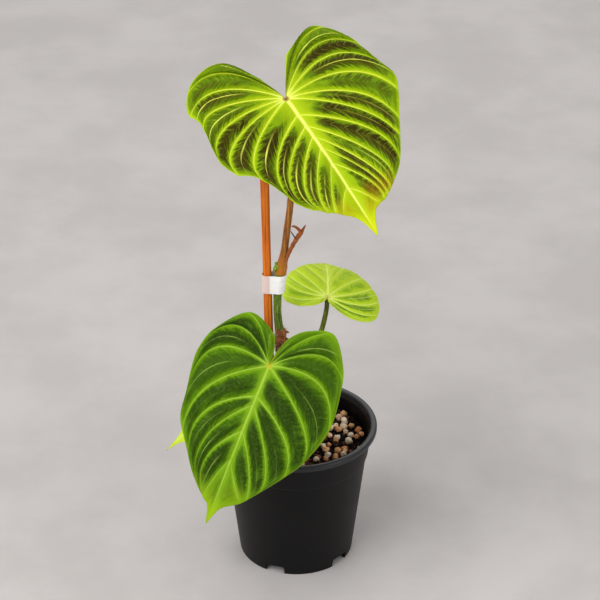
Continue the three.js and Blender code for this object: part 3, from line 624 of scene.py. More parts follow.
def foot_cutters():
    """One mesh of rounded blocks, for the notches in the foot and the drains behind them."""
    blocks = bmesh.new()
    channel_middle = (CHANNEL_INNER + FOOT_RADIUS - WALL) / 2
    places = [(FOOT_RADIUS + 2, 0, NOTCH_BLOCK), (channel_middle, CHANNEL_HEIGHT, DRAIN_BLOCK)]
    for i in range(NOTCHES):
        turn = Matrix.Rotation(math.radians(FIRST_NOTCH + i * 360 / NOTCHES), 4, "Z")
        for place, height, size in places:
            corners = bmesh.ops.create_cube(blocks, size=1)["verts"]
            shift = Matrix.Translation((place, 0, height))
            stretch = Matrix.Diagonal((*size, 1))
            bmesh.ops.transform(blocks, matrix=turn @ shift @ stretch, verts=corners)
            edges = list({edge for corner in corners for edge in corner.link_edges})
            bmesh.ops.bevel(blocks, geom=edges, offset=BLOCK_BEVEL, segments=4, affect="EDGES", profile=0.5)
    mesh = bpy.data.meshes.new("foot_cutters")
    blocks.to_mesh(mesh)
    blocks.free()
    mesh.transform(Matrix.Scale(MM, 4))
    return bpy.data.objects.new("foot_cutters", mesh)


def pot_material():
    shader = Shader("black_plastic", Roughness=0.42, Specular_IOR_Level=0.2)
    rim = shader.part("Z").fade(0.1015, 0.1045)
    cloud = shader.noise(35, 5, 0.6)
    dust = shader.noise(260, 3, 0.7).fade(0.6, 0.8)
    scratches = shader.noise(520, 2, 0.5, (1, 1, 0.14)).fade(0.71, 0.78)
    tone = shader.mix(cloud.fade(0.35, 0.7), (4, 4, 5), (9, 8, 9))
    tone = tone.mix(dust * 0.1, (80, 76, 74))
    tone = tone.mix(scratches * 0.12, (110, 106, 104))
    # Painted highlight: the rim's top band is painted a lighter grey, and it is also made less rough below
    tone = tone.mix(rim * 0.8, (54, 54, 56))
    rough = cloud * 0.2 + 0.38 + dust * 0.15 - rim * 0.22
    normal = shader.bump(shader.noise(900, 3, 0.6), 0.0001, 0.35)
    return shader.finish(Base_Color=tone, Roughness=rough, Normal=normal)


def make_pot():
    points, faces = lathe(pot_profile(), 180)
    pot = add_piece("pot_shell", points, faces, [pot_material()], "pot", "pot")
    cutter = foot_cutters()
    bpy.context.scene.collection.objects.link(cutter)
    cut = pot.modifiers.new("foot", "BOOLEAN")
    cut.object = cutter
    cut.operation = "DIFFERENCE"
    cut.solver = "EXACT"
    bpy.context.view_layer.update()
    cut_mesh = bpy.data.meshes.new_from_object(pot.evaluated_get(bpy.context.evaluated_depsgraph_get()))
    pot.modifiers.clear()
    pot.data = cut_mesh
    bpy.data.objects.remove(cutter)
    pot.data.set_sharp_from_angle(angle=math.radians(40))


# Potting mix
def soil_height(x, y):
    return SOIL_LEVEL + SOIL_SWELL * np.sin(x / 13 + 0.6) * np.cos(y / 17) - 0.4


def soil_material():
    shader = Shader("damp_mix", Roughness=0.95, Specular_IOR_Level=0.2)
    crumbs = shader.cells(420)
    grain = shader.noise(900, 5, 0.7)
    tone = grain.ramp((0.3, (22, 12, 8)), (0.55, (52, 30, 18)), (0.75, (96, 58, 34)))
    tone = tone.mix(crumbs.fade(0.0, 0.5), (20, 11, 8), "MULTIPLY")
    return shader.finish(Base_Color=tone, Normal=shader.bump(grain + crumbs, 0.0012, 0.8))


def bark_material():
    shader = Shader("bark_crumbs", Roughness=0.85, Specular_IOR_Level=0.3)
    grain = shader.noise(700, 5, 0.65, (1, 1, 2.2))
    value = shader.attribute("shade") * 0.6 + grain * 0.5
    tone = value.ramp((0.2, (24, 14, 10)), (0.5, (66, 36, 20)), (0.75, (118, 66, 36)), (0.95, (150, 96, 60)))
    return shader.finish(Base_Color=tone, Normal=shader.bump(grain, 0.0006, 0.7))


def granule_material(name, dark, middle, light):
    shader = Shader(name, Roughness=0.8, Specular_IOR_Level=0.35)
    grain = shader.noise(520, 6, 0.7)
    value = shader.attribute("shade") * 0.5 + grain * 0.55
    # The pits are sunk by the bump and painted darker as well: painted shade in the pits
    shaded_pits = shader.cells(1500).fade(0.32, 0.1)
    tone = value.ramp((0.25, dark), (0.52, middle), (0.82, light)).mix(shaded_pits * 0.55, dark)
    return shader.finish(Base_Color=tone, Normal=shader.bump(grain - shaded_pits, 0.0004, 0.8))


def make_soil_bed():
    rings = 60
    segments = 150
    floor_top = CHANNEL_HEIGHT + POT_FLOOR + 0.4
    turns = turns_of(segments)
    points = []
    for height in (floor_top, BAND_FOOT_HEIGHT - 4, BAND_FOOT_HEIGHT + 4):
        radius = pot_inner_radius(height) - SOIL_ROOM
        points += [(radius * math.cos(t), radius * math.sin(t), height) for t in turns]
    for k in range(rings):
        radius = (pot_inner_radius(SOIL_LEVEL) - SOIL_ROOM) * (1 - k / rings)
        for t in turns:
            x, y = radius * math.cos(t), radius * math.sin(t)
            rough = noise.fractal(Vector((x / 3.2, y / 3.2, 4)), 0.9, 2.0, 4)
            points.append((x, y, float(soil_height(x, y)) + SOIL_ROUGHNESS * rough - SOIL_DROP))
    points += [(0, 0, floor_top), (0, 0, float(soil_height(0, 0)) - SOIL_DROP)]
    faces = ring_faces(3 + rings, segments) + end_fans(3 + rings, segments)
    add_piece("soil_bed", points, faces, [soil_material()], "mix", "potting_mix")


def lump_shapes(seed, kinds, subdivisions, roughness, stretch):
    """A few uneven pebbles of radius one, to be turned and scaled."""
    rng = np.random.default_rng(seed)
    shapes = []
    for _ in range(kinds):
        ball = bmesh.new()
        bmesh.ops.create_icosphere(ball, subdivisions=subdivisions, radius=1)
        shift = Vector(rng.uniform(-50, 50, 3))
        points = []
        for corner in ball.verts:
            bulge = 1 + roughness * noise.fractal(corner.co * 1.1 + shift, 0.8, 2.0, 3)
            points.append(corner.co * bulge)
        faces = [tuple(corner.index for corner in face.verts) for face in ball.faces]
        ball.free()
        scale = np.array([1, rng.uniform(*stretch), rng.uniform(*stretch)])
        shapes.append((np.array(points) * scale, faces))
    return shapes


def turned(rng):
    """A random rotation as a 3 by 3 matrix."""
    quaternion = rng.normal(size=4)
    w, x, y, z = quaternion / np.linalg.norm(quaternion)
    return np.array([
        [1 - 2 * (y * y + z * z), 2 * (x * y - z * w), 2 * (x * z + y * w)],
        [2 * (x * y + z * w), 1 - 2 * (x * x + z * z), 2 * (y * z - x * w)],
        [2 * (x * z - y * w), 2 * (y * z + x * w), 1 - 2 * (x * x + y * y)],
    ])


class Scatter:
    """Places lumps over the potting mix, clear of what stands in it and of the lumps so far.

    crowding is the least distance between two, as a share of their radii together.
    """

    def __init__(self, seed):
        self.rng = np.random.default_rng(seed)
        self.taken = list(STANDING)

    def place(self, size, crowding):
        limit = pot_inner_radius(SOIL_LEVEL) - LUMP_ROOM - size
        for _ in range(LUMP_TRIES):
            radius = limit * math.sqrt(self.rng.uniform())
            turn = self.rng.uniform(0, 2 * math.pi)
            x, y = radius * math.cos(turn), radius * math.sin(turn)
            if all(math.hypot(x - a, y - b) > crowding * (size + c) for a, b, c in self.taken):
                self.taken.append((x, y, size))
                return x, y
        return None

    def lumps(self, name, count, sizes, shapes, material, crowding, sink, flat=1.0):
        parts = []
        shades = []
        for _ in range(count):
            size = self.rng.uniform(*sizes)
            spot = self.place(size, crowding)
            if spot is None:
                continue
            points, faces = shapes[self.rng.integers(len(shapes))]
            moved = (points * size) @ turned(self.rng).T
            moved[:, 2] *= flat
            moved += np.array([spot[0], spot[1], float(soil_height(*spot)) + sink * size])
            parts.append((moved, faces))
            shades += [self.rng.uniform()] * len(points)
        points, faces = merge_parts(parts)
        piece = add_piece(name, points, faces, [material], "mix")
        set_attribute(piece, "shade", shades)


def make_soil():
    make_soil_bed()
    scatter = Scatter(7)
    pebbles = lump_shapes(11, 7, subdivisions=3, roughness=0.35, stretch=(0.72, 0.95))
    chips = lump_shapes(12, 7, subdivisions=2, roughness=0.6, stretch=(0.35, 0.8))
    pale = granule_material("pale_granules", (214, 176, 136), (252, 230, 200), (255, 248, 232))
    tan = granule_material("tan_granules", (208, 136, 82), (255, 206, 150), (255, 238, 204))
    bark = bark_material()
    scatter.lumps("granules_pale", 24, (2.2, 3.1), pebbles, pale, crowding=0.92, sink=0.5)
    scatter.lumps("granules_tan", 96, (1.9, 2.9), pebbles, tan, crowding=0.86, sink=0.4)
    scatter.taken = list(STANDING)
    scatter.lumps("bark_chips", 210, (1.6, 3.4), chips, bark, crowding=0.55, sink=0.02, flat=0.7)
    scatter.taken = list(STANDING)
    scatter.lumps("bark_dust", 420, (0.6, 1.3), chips, bark, crowding=0.4, sink=0.5, flat=0.8)


# Stake
def stake_material():
    shader = Shader("split_cane", Roughness=0.62, Specular_IOR_Level=0.35)
    grain = shader.noise(900, 5, 0.65, (1, 1, 0.035))
    streak = shader.noise(330, 3, 0.55, (1, 1, 0.012))
    blotch = shader.noise(45, 3, 0.5, (1, 1, 0.4))
    tone = grain.ramp((0.3, (150, 66, 4)), (0.5, (206, 102, 6)), (0.72, (232, 140, 26)))
    tone = tone.mix(streak.fade(0.56, 0.68) * 0.75, (84, 34, 6))
    tone = tone.mix(blotch.fade(0.5, 0.7) * 0.35, (170, 74, 10))
    return shader.finish(Base_Color=tone, Normal=shader.bump(grain + streak, 0.0005, 0.6))


def make_stake():
    sides = 36
    levels = 220
    split_turn = 4.95
    split_depth = 0.22
    foot = np.array(STAKE_FOOT, float)
    head = np.array(STAKE_HEAD, float)
    points = []
    for k in range(levels + 1):
        share = k / levels
        x, y, z = foot + (head - foot) * share
        swell = 1 + 0.03 * math.sin(5 * share * math.pi)
        near_end = min(1, (1 - share) * levels / 3 + 0.72)
        for turn in turns_of(sides):
            c, s = math.cos(turn), math.sin(turn)
            rough = 0.1 * noise.noise(Vector((c * 6, s * 6, share * 9)))
            rough -= split_depth * math.exp(-((turn - split_turn) / 0.09) ** 2)
            edge = abs(c) ** 0.85 * math.copysign(1, c)
            reach_x = STAKE_WIDTH / 2 * swell * near_end + rough
            reach_y = STAKE_DEPTH / 2 * near_end + rough
            points.append((x + reach_x * edge, y + reach_y * s, z))
    points += [tuple(foot - (0, 0, 0.5)), tuple(head + (0, 0, 0.3))]
    faces = ring_faces(levels + 1, sides) + end_fans(levels + 1, sides)
    add_piece("stake_cane", points, faces, [stake_material()], "cane", "stake")


# Stem
def stem_material():
    shader = Shader("stem_bark", Roughness=0.75, Specular_IOR_Level=0.3)
    level = shader.part("Z") + shader.noise(260, 4, 0.6).centred(0.006)
    fibre = shader.noise(1100, 5, 0.65, (1, 1, 0.12))
    bark = fibre.ramp((0.3, (50, 24, 10)), (0.52, (116, 62, 28)), (0.75, (176, 112, 62)))
    green = fibre.ramp((0.32, (46, 66, 8)), (0.52, (94, 122, 24)), (0.74, (166, 180, 92)))
    bud = fibre.ramp((0.3, (60, 92, 12)), (0.7, (148, 176, 48)))
    red = fibre.ramp((0.3, (104, 54, 22)), (0.6, (178, 110, 58)), (0.8, (214, 158, 104)))
    tone = bark.mix(level.fade(0.1885, 0.1925), green)
    tone = tone.mix(level.fade(0.232, 0.238), bud)
    collar = level.fade(0.176, 0.182) * level.fade(0.192, 0.188)
    tone = tone.mix(collar * 0.85, red)
    return shader.finish(Base_Color=tone, Normal=shader.bump(fibre, 0.0008, 0.9))


def stem_shape(angle, length, centre):
    z = centre[..., 2]
    ridges = 0.16 * np.sin(9 * angle + 0.12 * length) + 0.08 * np.sin(17 * angle + 1.3)
    rings = 0.12 * np.sin(length * 1.9 + np.sin(3 * angle)) * (z < 176)
    collar = 0.28 * np.sin(5 * angle + 1.7 * np.sin(length / 1.4)) * np.exp(-((z - 184) / 5.0) ** 2)
    return ridges + rings + collar - 0.15


def nub_parts():
    parts = []
    for turn, height, length in ROOT_NUBS:
        c, s = math.cos(math.radians(turn)), math.sin(math.radians(turn))
        reach = COLLAR_RADIUS + length
        line = [
            (COLLAR_X, 0, height, 1.3),
            (COLLAR_X + 0.72 * reach * c, 0.72 * reach * s, height - 0.4, 1.0),
            (COLLAR_X + reach * c, reach * s, height - 1.6, 0.4),
        ]
        parts.append(tube(line, 12, 6, reference=(0, 0, 1))[:2])
    return parts


def hair_material(name, colour):
    shader = Shader(name, Roughness=0.6, Specular_IOR_Level=0.4)
    return shader.finish(Base_Color=shader.mix(shader.noise(700, 2), colour, (250, 246, 236)))


def make_stem():
    parts = [tube(STEM_LINE, 40, 14, stem_shape)[:2], tube(BUD, 16, 8)[:2]]
    points, faces = merge_parts(parts + nub_parts())
    add_piece("stem_bark", points, faces, [stem_material()], "stem", "stem")
    hairs = hairs_on(STEM_LINE[7:10], 260, length=1.3, thickness=0.05, seed=21)
    add_piece("stem_hairs", *hairs, [hair_material("stem_hair", (176, 178, 130))], "stem")
    fibres = hairs_on(STEM_LINE[4:8], 150, length=2.6, thickness=0.09, seed=22, lean=-0.2)
    add_piece("collar_fibres", *fibres, [hair_material("root_fibre", (150, 96, 60))], "stem")


# Tape
def tape_material():
    shader = Shader("white_tape", Roughness=0.6, Specular_IOR_Level=0.35)
    fibre = shader.noise(800, 4, 0.6, (0.15, 1, 1))
    crease = shader.noise(260, 3, 0.55, (1, 1, 0.5))
    over_stake = shader.part("X").fade(-0.0178, -0.0196)
    tone = shader.mix(fibre, (232, 230, 226), (250, 249, 246)).mix(over_stake * 0.8, (214, 184, 176))
    return shader.finish(Base_Color=tone, Normal=shader.bump(fibre + crease, 0.0004, 0.5))


def tape_loop(height, room):
    """One level of the tape: round the stem, across to the stake, round it and back."""
    steps = 22
    spans = 9
    share = (height - TAPE_BOTTOM) / (TAPE_TOP - TAPE_BOTTOM)
    stem_x = TAPE_FOOT[0] + (TAPE_HEAD[0] - TAPE_FOOT[0]) * share
    stem_radius = TAPE_FOOT[1] + (TAPE_HEAD[1] - TAPE_FOOT[1]) * share + room
    rise = (height - STAKE_FOOT[2]) / (STAKE_HEAD[2] - STAKE_FOOT[2])
    stake_x = STAKE_FOOT[0] + (STAKE_HEAD[0] - STAKE_FOOT[0]) * rise
    depth = STAKE_DEPTH / 2 + TAPE_SHOULDER + room
    reach = STAKE_WIDTH / 2 + TAPE_ROOM + room
    wave = 0.12 * math.sin(height * 1.1)
    turns = [math.pi * (i / steps - 0.5) for i in range(steps + 1)]
    shares = [i / spans for i in range(1, spans)]
    loop = []
    for turn in turns:
        loop.append((stem_x + stem_radius * math.cos(turn), stem_radius * math.sin(turn) + wave))
    for share in shares:
        sag = 0.25 * math.sin(share * math.pi)
        loop.append((stem_x + (stake_x - stem_x) * share, stem_radius + (depth - stem_radius) * share - sag))
    for turn in turns:
        loop.append((stake_x - reach * math.cos(turn), -depth * math.sin(turn)))
    for share in shares:
        sag = 0.3 * math.sin(share * math.pi)
        loop.append((stake_x + (stem_x - stake_x) * share, sag - depth - (stem_radius - depth) * share))
    return [(x, y, height) for x, y in loop]


def make_tape():
    levels = 16
    heights = [TAPE_BOTTOM + (TAPE_TOP - TAPE_BOTTOM) * k / levels for k in range(levels + 1)]
    loops = [tape_loop(height, TAPE_ROOM + TAPE_THICKNESS) for height in heights]
    loops += [tape_loop(height, TAPE_ROOM) for height in reversed(heights)]
    faces = ring_faces(len(loops), len(loops[0]), closed=True)
    tape = add_piece("tape_band", np.array(loops).reshape(-1, 3), faces, [tape_material()], "band", "tape")
    tape.data.set_sharp_from_angle(angle=math.radians(50))


# Leaf stalks
def stalk_material(name, dark, middle, light, foot=None, foot_height=0.0):
    shader = Shader(name, Roughness=0.6, Specular_IOR_Level=0.25, Sheen_Weight=0.06, Sheen_Roughness=0.5)
    streak = shader.noise(700, 4, 0.6, (1, 1, 0.06))
    value = streak * 0.7 + shader.noise(80, 3, 0.5) * 0.3
    specks = shader.cells(900).fade(0.22, 0.08)
    tone = value.ramp((0.35, dark), (0.5, middle), (0.66, light)).mix(specks * 0.3, light)
    if foot is not None:
        level = shader.part("Z") + streak.centred(0.03)
        tone = tone.mix(level.fade(foot_height, foot_height - 0.018), foot)
    return shader.finish(Base_Color=tone, Normal=shader.bump(streak + specks, 0.0004, 0.6))


def stalk_shape(angle, length, centre):
    return 0.06 * np.sin(7 * angle) + 0.05 * np.sin(13 * angle + 0.05 * length) - 0.05


def make_stalks():
    brown = stalk_material("brown_stalk", (92, 52, 10), (140, 84, 22), (180, 124, 54), (176, 104, 12), 0.2555)
    green = stalk_material("green_stalk", (52, 66, 8), (84, 98, 14), (130, 142, 44))
    pale_hair = hair_material("pale_hair", (206, 188, 156))
    green_hair = hair_material("green_hair", (170, 172, 110))
    for name, line in PETIOLES.items():
        slot, material, hair = "green_stalk", green, green_hair
        sides, steps, count, window = 24, 12, 380, (0.05, 0.97)
        if name == "top":
            slot, material, hair = "stalk", brown, pale_hair
            sides, steps, count, window = 32, 16, 900, (0.1, 0.985)
        points, faces, _ = tube(line, sides, steps, stalk_shape)
        add_piece(f"stalk_{name}", points, faces, [material], slot, f"petiole_{name}")
        hairs = hairs_on(line, count, length=1.5, thickness=0.05, seed=31 + len(name), window=window)
        add_piece(f"stalk_{name}_hairs", *hairs, [hair], slot)


# Dried bract
def bract_material():
    shader = Shader("dry_bract", Roughness=0.7, Specular_IOR_Level=0.35)
    uv = shader.node("ShaderNodeUVMap", uv_map="length")
    strands = shader.node("ShaderNodeMapping", [("Vector", uv), ("Scale", (30, 60, 1))])
    fibre = shader.noise(1.0, 4, 0.6, vector=strands)
    value = fibre * 0.6 + shader.noise(220, 3, 0.6) * 0.4
    tone = value.ramp((0.34, (84, 34, 10)), (0.5, (150, 76, 26)), (0.68, (206, 126, 62)))
    return shader.finish(Base_Color=tone, Normal=shader.bump(fibre, 0.0004, 0.7))


def make_bract():
    rows = smooth_line(CATAPHYLL, 14)
    centres = rows[:, :3]
    tangent, side, face = frames_along(centres)
    turn = np.radians(rows[:, 4])[:, None]
    across = side * np.cos(turn) + face * np.sin(turn)
    out = np.cross(tangent, across)
    half = np.maximum(rows[:, 3], 0.25)
    shares = np.linspace(-1, 1, 13)
    points = []
    for lift, order in ((-BRACT_THICKNESS / 2, shares[::-1]), (BRACT_THICKNESS / 2, shares)):
        for share in order:
            curl = 0.5 * half * share ** 2 + 0.15 * np.sin(np.arange(len(rows)) * 0.55 + 3 * share)
            points.append(centres + across * (half * share)[:, None] + out * (curl + lift)[:, None])
    loops = np.stack(points, axis=1)
    count, size = loops.shape[:2]
    faces = ring_faces(count, size)
    faces.append(tuple(range(size - 1, -1, -1)))
    faces.append(tuple(range((count - 1) * size, count * size)))
    corners = ring_corners([k / count for k in range(count)], size)
    corners += [(0, 0)] * size + [(0, 1)] * size
    material = bract_material()
    bract = add_piece("bract_dry", loops.reshape(-1, 3), faces, [material], "bract", "cataphyll")
    set_uv(bract, "length", corners)
    points, faces, corners = tube(BRACT_HOOK, 14, 10)
    hook = add_piece("bract_hook", points, faces, [material], "bract")
    set_uv(hook, "length", corners)
    shader = Shader("dark_strand", Roughness=0.6)
    tone = shader.mix(shader.noise(500, 3), (38, 36, 36), (84, 74, 66))
    points, faces, _ = tube(BRACT_STRAND, 10, 8)
    add_piece("bract_strand", points, faces, [shader.finish(Base_Color=tone)], "bract")


# Blades
def blade_axes(blade):
    heading, dip, roll = (math.radians(blade[key]) for key in ("heading", "dip", "roll"))
    along = np.array([math.cos(dip) * math.sin(heading), -math.cos(dip) * math.cos(heading), -math.sin(dip)])
    out = np.array([math.sin(dip) * math.sin(heading), -math.sin(dip) * math.cos(heading), math.cos(dip)])
    across = np.cross(along, out)
    return (across * math.cos(roll) + out * math.sin(roll), along,
            out * math.cos(roll) - across * math.sin(roll))


def plan_at(blade, side, place, reach):
    """Across and along positions of every (place, reach) pair."""
    stations = blade["plus"] if side > 0 else blade["minus"]
    veins = np.array(blade["plus_veins"] if side > 0 else blade["minus_veins"], float)
    marks = range(len(veins))
    bend = np.stack([np.interp(place, marks, veins[:, axis]) for axis in (0, 1)], axis=1)
    end = spline_at(stations, np.interp(place, marks, veins[:, 2]))
    root = np.stack([np.zeros(len(place)), np.interp(place, marks, blade["roots"])], axis=1)
    t = reach[None, :, None]
    plan = root[:, None, :] * (1 - t) ** 2 + bend[:, None, :] * 2 * t * (1 - t) + end[:, None, :] * t ** 2
    return plan[..., 0], plan[..., 1]


def relief_at(blade, place, reach, x, y, span_mm):
    """The same arch, droop and quilting as the solid, with the quilting eased where veins crowd."""
    last = len(blade["roots"]) - 1
    fall = np.where(y > 0, blade["arch"], blade["lobe_fall"])
    puff = (np.abs(np.sin(np.pi * place)) ** 0.8 * np.sin(0.8 * np.pi * np.minimum(1, reach ** 0.7))
            * np.minimum(1, (last - place) / 2) * np.clip(span_mm / 10, 0.15, 1))
    return (blade["fold"] * (1 - np.exp(-np.abs(x) / 6)) + blade["quilt"] * puff
            - fall * (y / blade["length"]) ** 2 - blade["droop"] * (x / blade["width"]) ** 2)


def fine_relief(blade, side, place, reach, span_mm, length_mm):
    """Sunken veins, a crease half way between them, small blisters, and a waved, rolled margin."""
    last = len(blade["roots"]) - 1
    quilt = blade["quilt"]
    fraction = place % 1
    near_tip = np.clip((last - place) / 1.5, 0, 1)
    vein_mm = np.minimum(fraction, 1 - fraction) * span_mm
    middle_mm = np.abs(fraction - 0.5) * span_mm
    groove = -0.12 * quilt * np.exp(-(vein_mm / 0.8) ** 2) * (1 - 0.6 * reach)
    wide = np.clip((span_mm - 4) / 8, 0, 1)
    crease = -0.16 * quilt * np.exp(-(middle_mm / 1.3) ** 2) * np.clip((reach - 0.2) / 0.3, 0, 1) * wide
    walk = length_mm * reach - 1.2 * middle_mm
    ripple = np.sin(2 * np.pi * walk / 4.2 + 1.7 * np.sin(place * 2.1 + side))
    blister = 0.045 * quilt * ripple * np.clip(reach * 3, 0, 1) * np.clip(vein_mm / 2, 0, 1)
    wave = 0.2 * quilt * np.sin(place * 2.3 + side * 1.1) * reach ** 6
    roll = -0.25 * quilt * np.clip((reach - 0.93) / 0.07, 0, 1) ** 2
    return groove + near_tip * (crease + blister + wave + roll)


def blade_half(blade, side, place, reach, axes):
    """Middle surface, half thicknesses and the lengths the shaders need, over one half's grid."""
    across, along, out = axes
    x, y = plan_at(blade, side, place, reach)
    place_grid, reach_grid = np.meshgrid(place, reach, indexing="ij")
    span = np.hypot(np.gradient(x, place, axis=0), np.gradient(y, place, axis=0))
    steps = np.hypot(np.diff(x, axis=1), np.diff(y, axis=1)).sum(axis=1)
    length = np.broadcast_to(steps[:, None], x.shape)
    relief = (relief_at(blade, place_grid, reach_grid, x, y, span)
              + fine_relief(blade, side, place_grid, reach_grid, span, length))
    middle = (np.array(blade["seat"], float) + across * (side * x)[..., None]
              + along * y[..., None] + out * relief[..., None])
    above = BLADE_THICKNESS / 2 * (1 - 0.5 * reach_grid)
    share = np.clip(1 - y / blade["length"], 0.12, 1)
    midrib = 0.9 * share * np.exp(-(x / (0.9 * share)) ** 2) * (y > -0.5)
    fraction = place_grid % 1
    vein_mm = np.minimum(fraction, 1 - fraction) * span
    vein = 0.4 * np.exp(-(vein_mm / 0.5) ** 2) * (1 - reach_grid) * np.clip(reach_grid * 12, 0, 1)
    middle_mm = np.where(y > 0, np.abs(x), np.hypot(x, y))
    tints = blade["plus_tint"] if side > 0 else blade["minus_tint"]
    facts = {"span_mm": span, "length_mm": length, "mid_mm": middle_mm,
             "seat_mm": np.hypot(x, y), "axis": y / blade["length"],
             "tint": np.interp(place_grid, np.arange(len(tints)) + 0.5, tints),
             "notch": np.exp(-place_grid / 0.35)}
    return middle, above, above + np.maximum(midrib, vein), facts


def make_blade(name, upper, under, slot):
    blade = BLADES[name]
    last = len(blade["roots"]) - 1
    columns = last * blade["columns"]
    rings = blade["rings"]
    place = np.linspace(0, last, columns + 1)
    reach = np.linspace(0, 1, rings + 1)
    roots = np.interp(place, range(last + 1), blade["roots"])
    axes = blade_axes(blade)
    out = axes[2]
    halves = {side: blade_half(blade, side, place, reach, axes) for side in (1, -1)}

    def key_of(side, i, j):
        if i == columns:
            return "tip"
        if j == 0:
            return "seat" if roots[i] == 0 else ("rib", i)
        return (side, i, j)

    index = {}
    cells = []
    for cell in product((1, -1), range(columns + 1), range(rings + 1)):
        key = key_of(*cell)
        if key not in index:
            index[key] = len(cells)
            cells.append(cell)

    def gathered(pick):
        return np.array([pick(halves[side])[i, j] for side, i, j in cells])

    centres = gathered(lambda half: half[0]) - out * BLADE_DROP
    tops = centres + out * gathered(lambda half: half[1])[:, None]
    bottoms = centres - out * gathered(lambda half: half[2])[:, None]
    facts = {fact: gathered(lambda half: half[3][fact]) for fact in halves[1][3]}
    count = len(cells)
    faces = []
    corners = []
    face_materials = []

    # Each cell of the grid gives an upper and a lower face, a triangle where two corners meet
    for side, i, j in product((1, -1), range(columns), range(rings)):
        shift = 0 if side > 0 else HALF_SHIFT
        ring = []
        for a, b in ((i, j), (i, j + 1), (i + 1, j + 1), (i + 1, j)):
            number = index[key_of(side, a, b)]
            at = place[a] if b else (place[i] + place[i + 1]) / 2
            if not ring or ring[-1][0] != number:
                ring.append((number, ((at + shift) / PLACE_SCALE, reach[b])))
        if ring[0][0] == ring[-1][0]:
            ring.pop()
        if len(ring) < 3:
            continue
        if side < 0:
            ring.reverse()
        faces.append(tuple(number for number, _ in ring))
        faces.append(tuple(number + count for number, _ in reversed(ring)))
        corners += [uv for _, uv in ring] + [uv for _, uv in reversed(ring)]
        face_materials += [0, 1]

    # The margin and the notch's two sides are closed by a rim, which bulges a little
    outline = ["seat"] + [(1, 0, j) for j in range(1, rings + 1)]
    outline += [(1, i, rings) for i in range(1, columns)] + ["tip"]
    outline += [(-1, i, rings) for i in range(columns - 1, -1, -1)]
    outline += [(-1, 0, j) for j in range(rings - 1, 0, -1)]
    loop = np.array([index[key] for key in outline])
    ahead = centres[np.roll(loop, -1)] - centres[np.roll(loop, 1)]
    outward = np.cross(ahead, out)
    outward /= np.maximum(np.linalg.norm(outward, axis=1), 1e-9)[:, None]
    outward[0] = 0
    rim = centres[loop] + outward * RIM_BULGE
    for k in range(len(loop)):
        n = (k + 1) % len(loop)
        low, edge, high = int(loop[k]) + count, 2 * count + k, int(loop[k])
        low_next, edge_next, high_next = int(loop[n]) + count, 2 * count + n, int(loop[n])
        faces += [(low, low_next, edge_next, edge), (edge, edge_next, high_next, high)]
    corners += [(0.5 / PLACE_SCALE, 1)] * 8 * len(loop)
    face_materials += [0, 0] * len(loop)
    piece = add_piece(f"leaf_{name}", np.vstack([tops, bottoms, rim]), faces, [upper, under], slot,
                      f"blade_{name}", face_materials)
    set_uv(piece, "veins", corners)
    for fact, values in facts.items():
        set_attribute(piece, fact, np.concatenate([values, values, values[loop]]))


class LeafShader(Shader):
    """Node values that every leaf face shares: where a point lies among the veins."""

    def __init__(self, name, **settings):
        super().__init__(name, **settings)
        uv = self.node("ShaderNodeUVMap", uv_map="veins")
        self.place = self.part("X", uv) * PLACE_SCALE
        self.reach = self.part("Y", uv)
        self.span = self.attribute("span_mm")
        self.length = self.attribute("length_mm")
        self.mid = self.attribute("mid_mm")
        self.seat = self.attribute("seat_mm")
        self.axis = self.attribute("axis")
        self.ahead = self.axis.fade(-0.01, 0.012)
        fraction = self.math("FRACT", self.place)
        self.from_vein = self.math("MINIMUM", fraction, 1 - fraction)
        self.vein_mm = self.from_vein * self.span
        self.middle_mm = abs(fraction - 0.5) * self.span
        self.edge_mm = (1 - self.reach) * self.length

    def streaks(self, across, along, detail):
        """Noise drawn out along the side veins."""
        vector = self.vector(self.place * across, self.reach * along)
        return self.noise(1.0, detail, vector=vector)


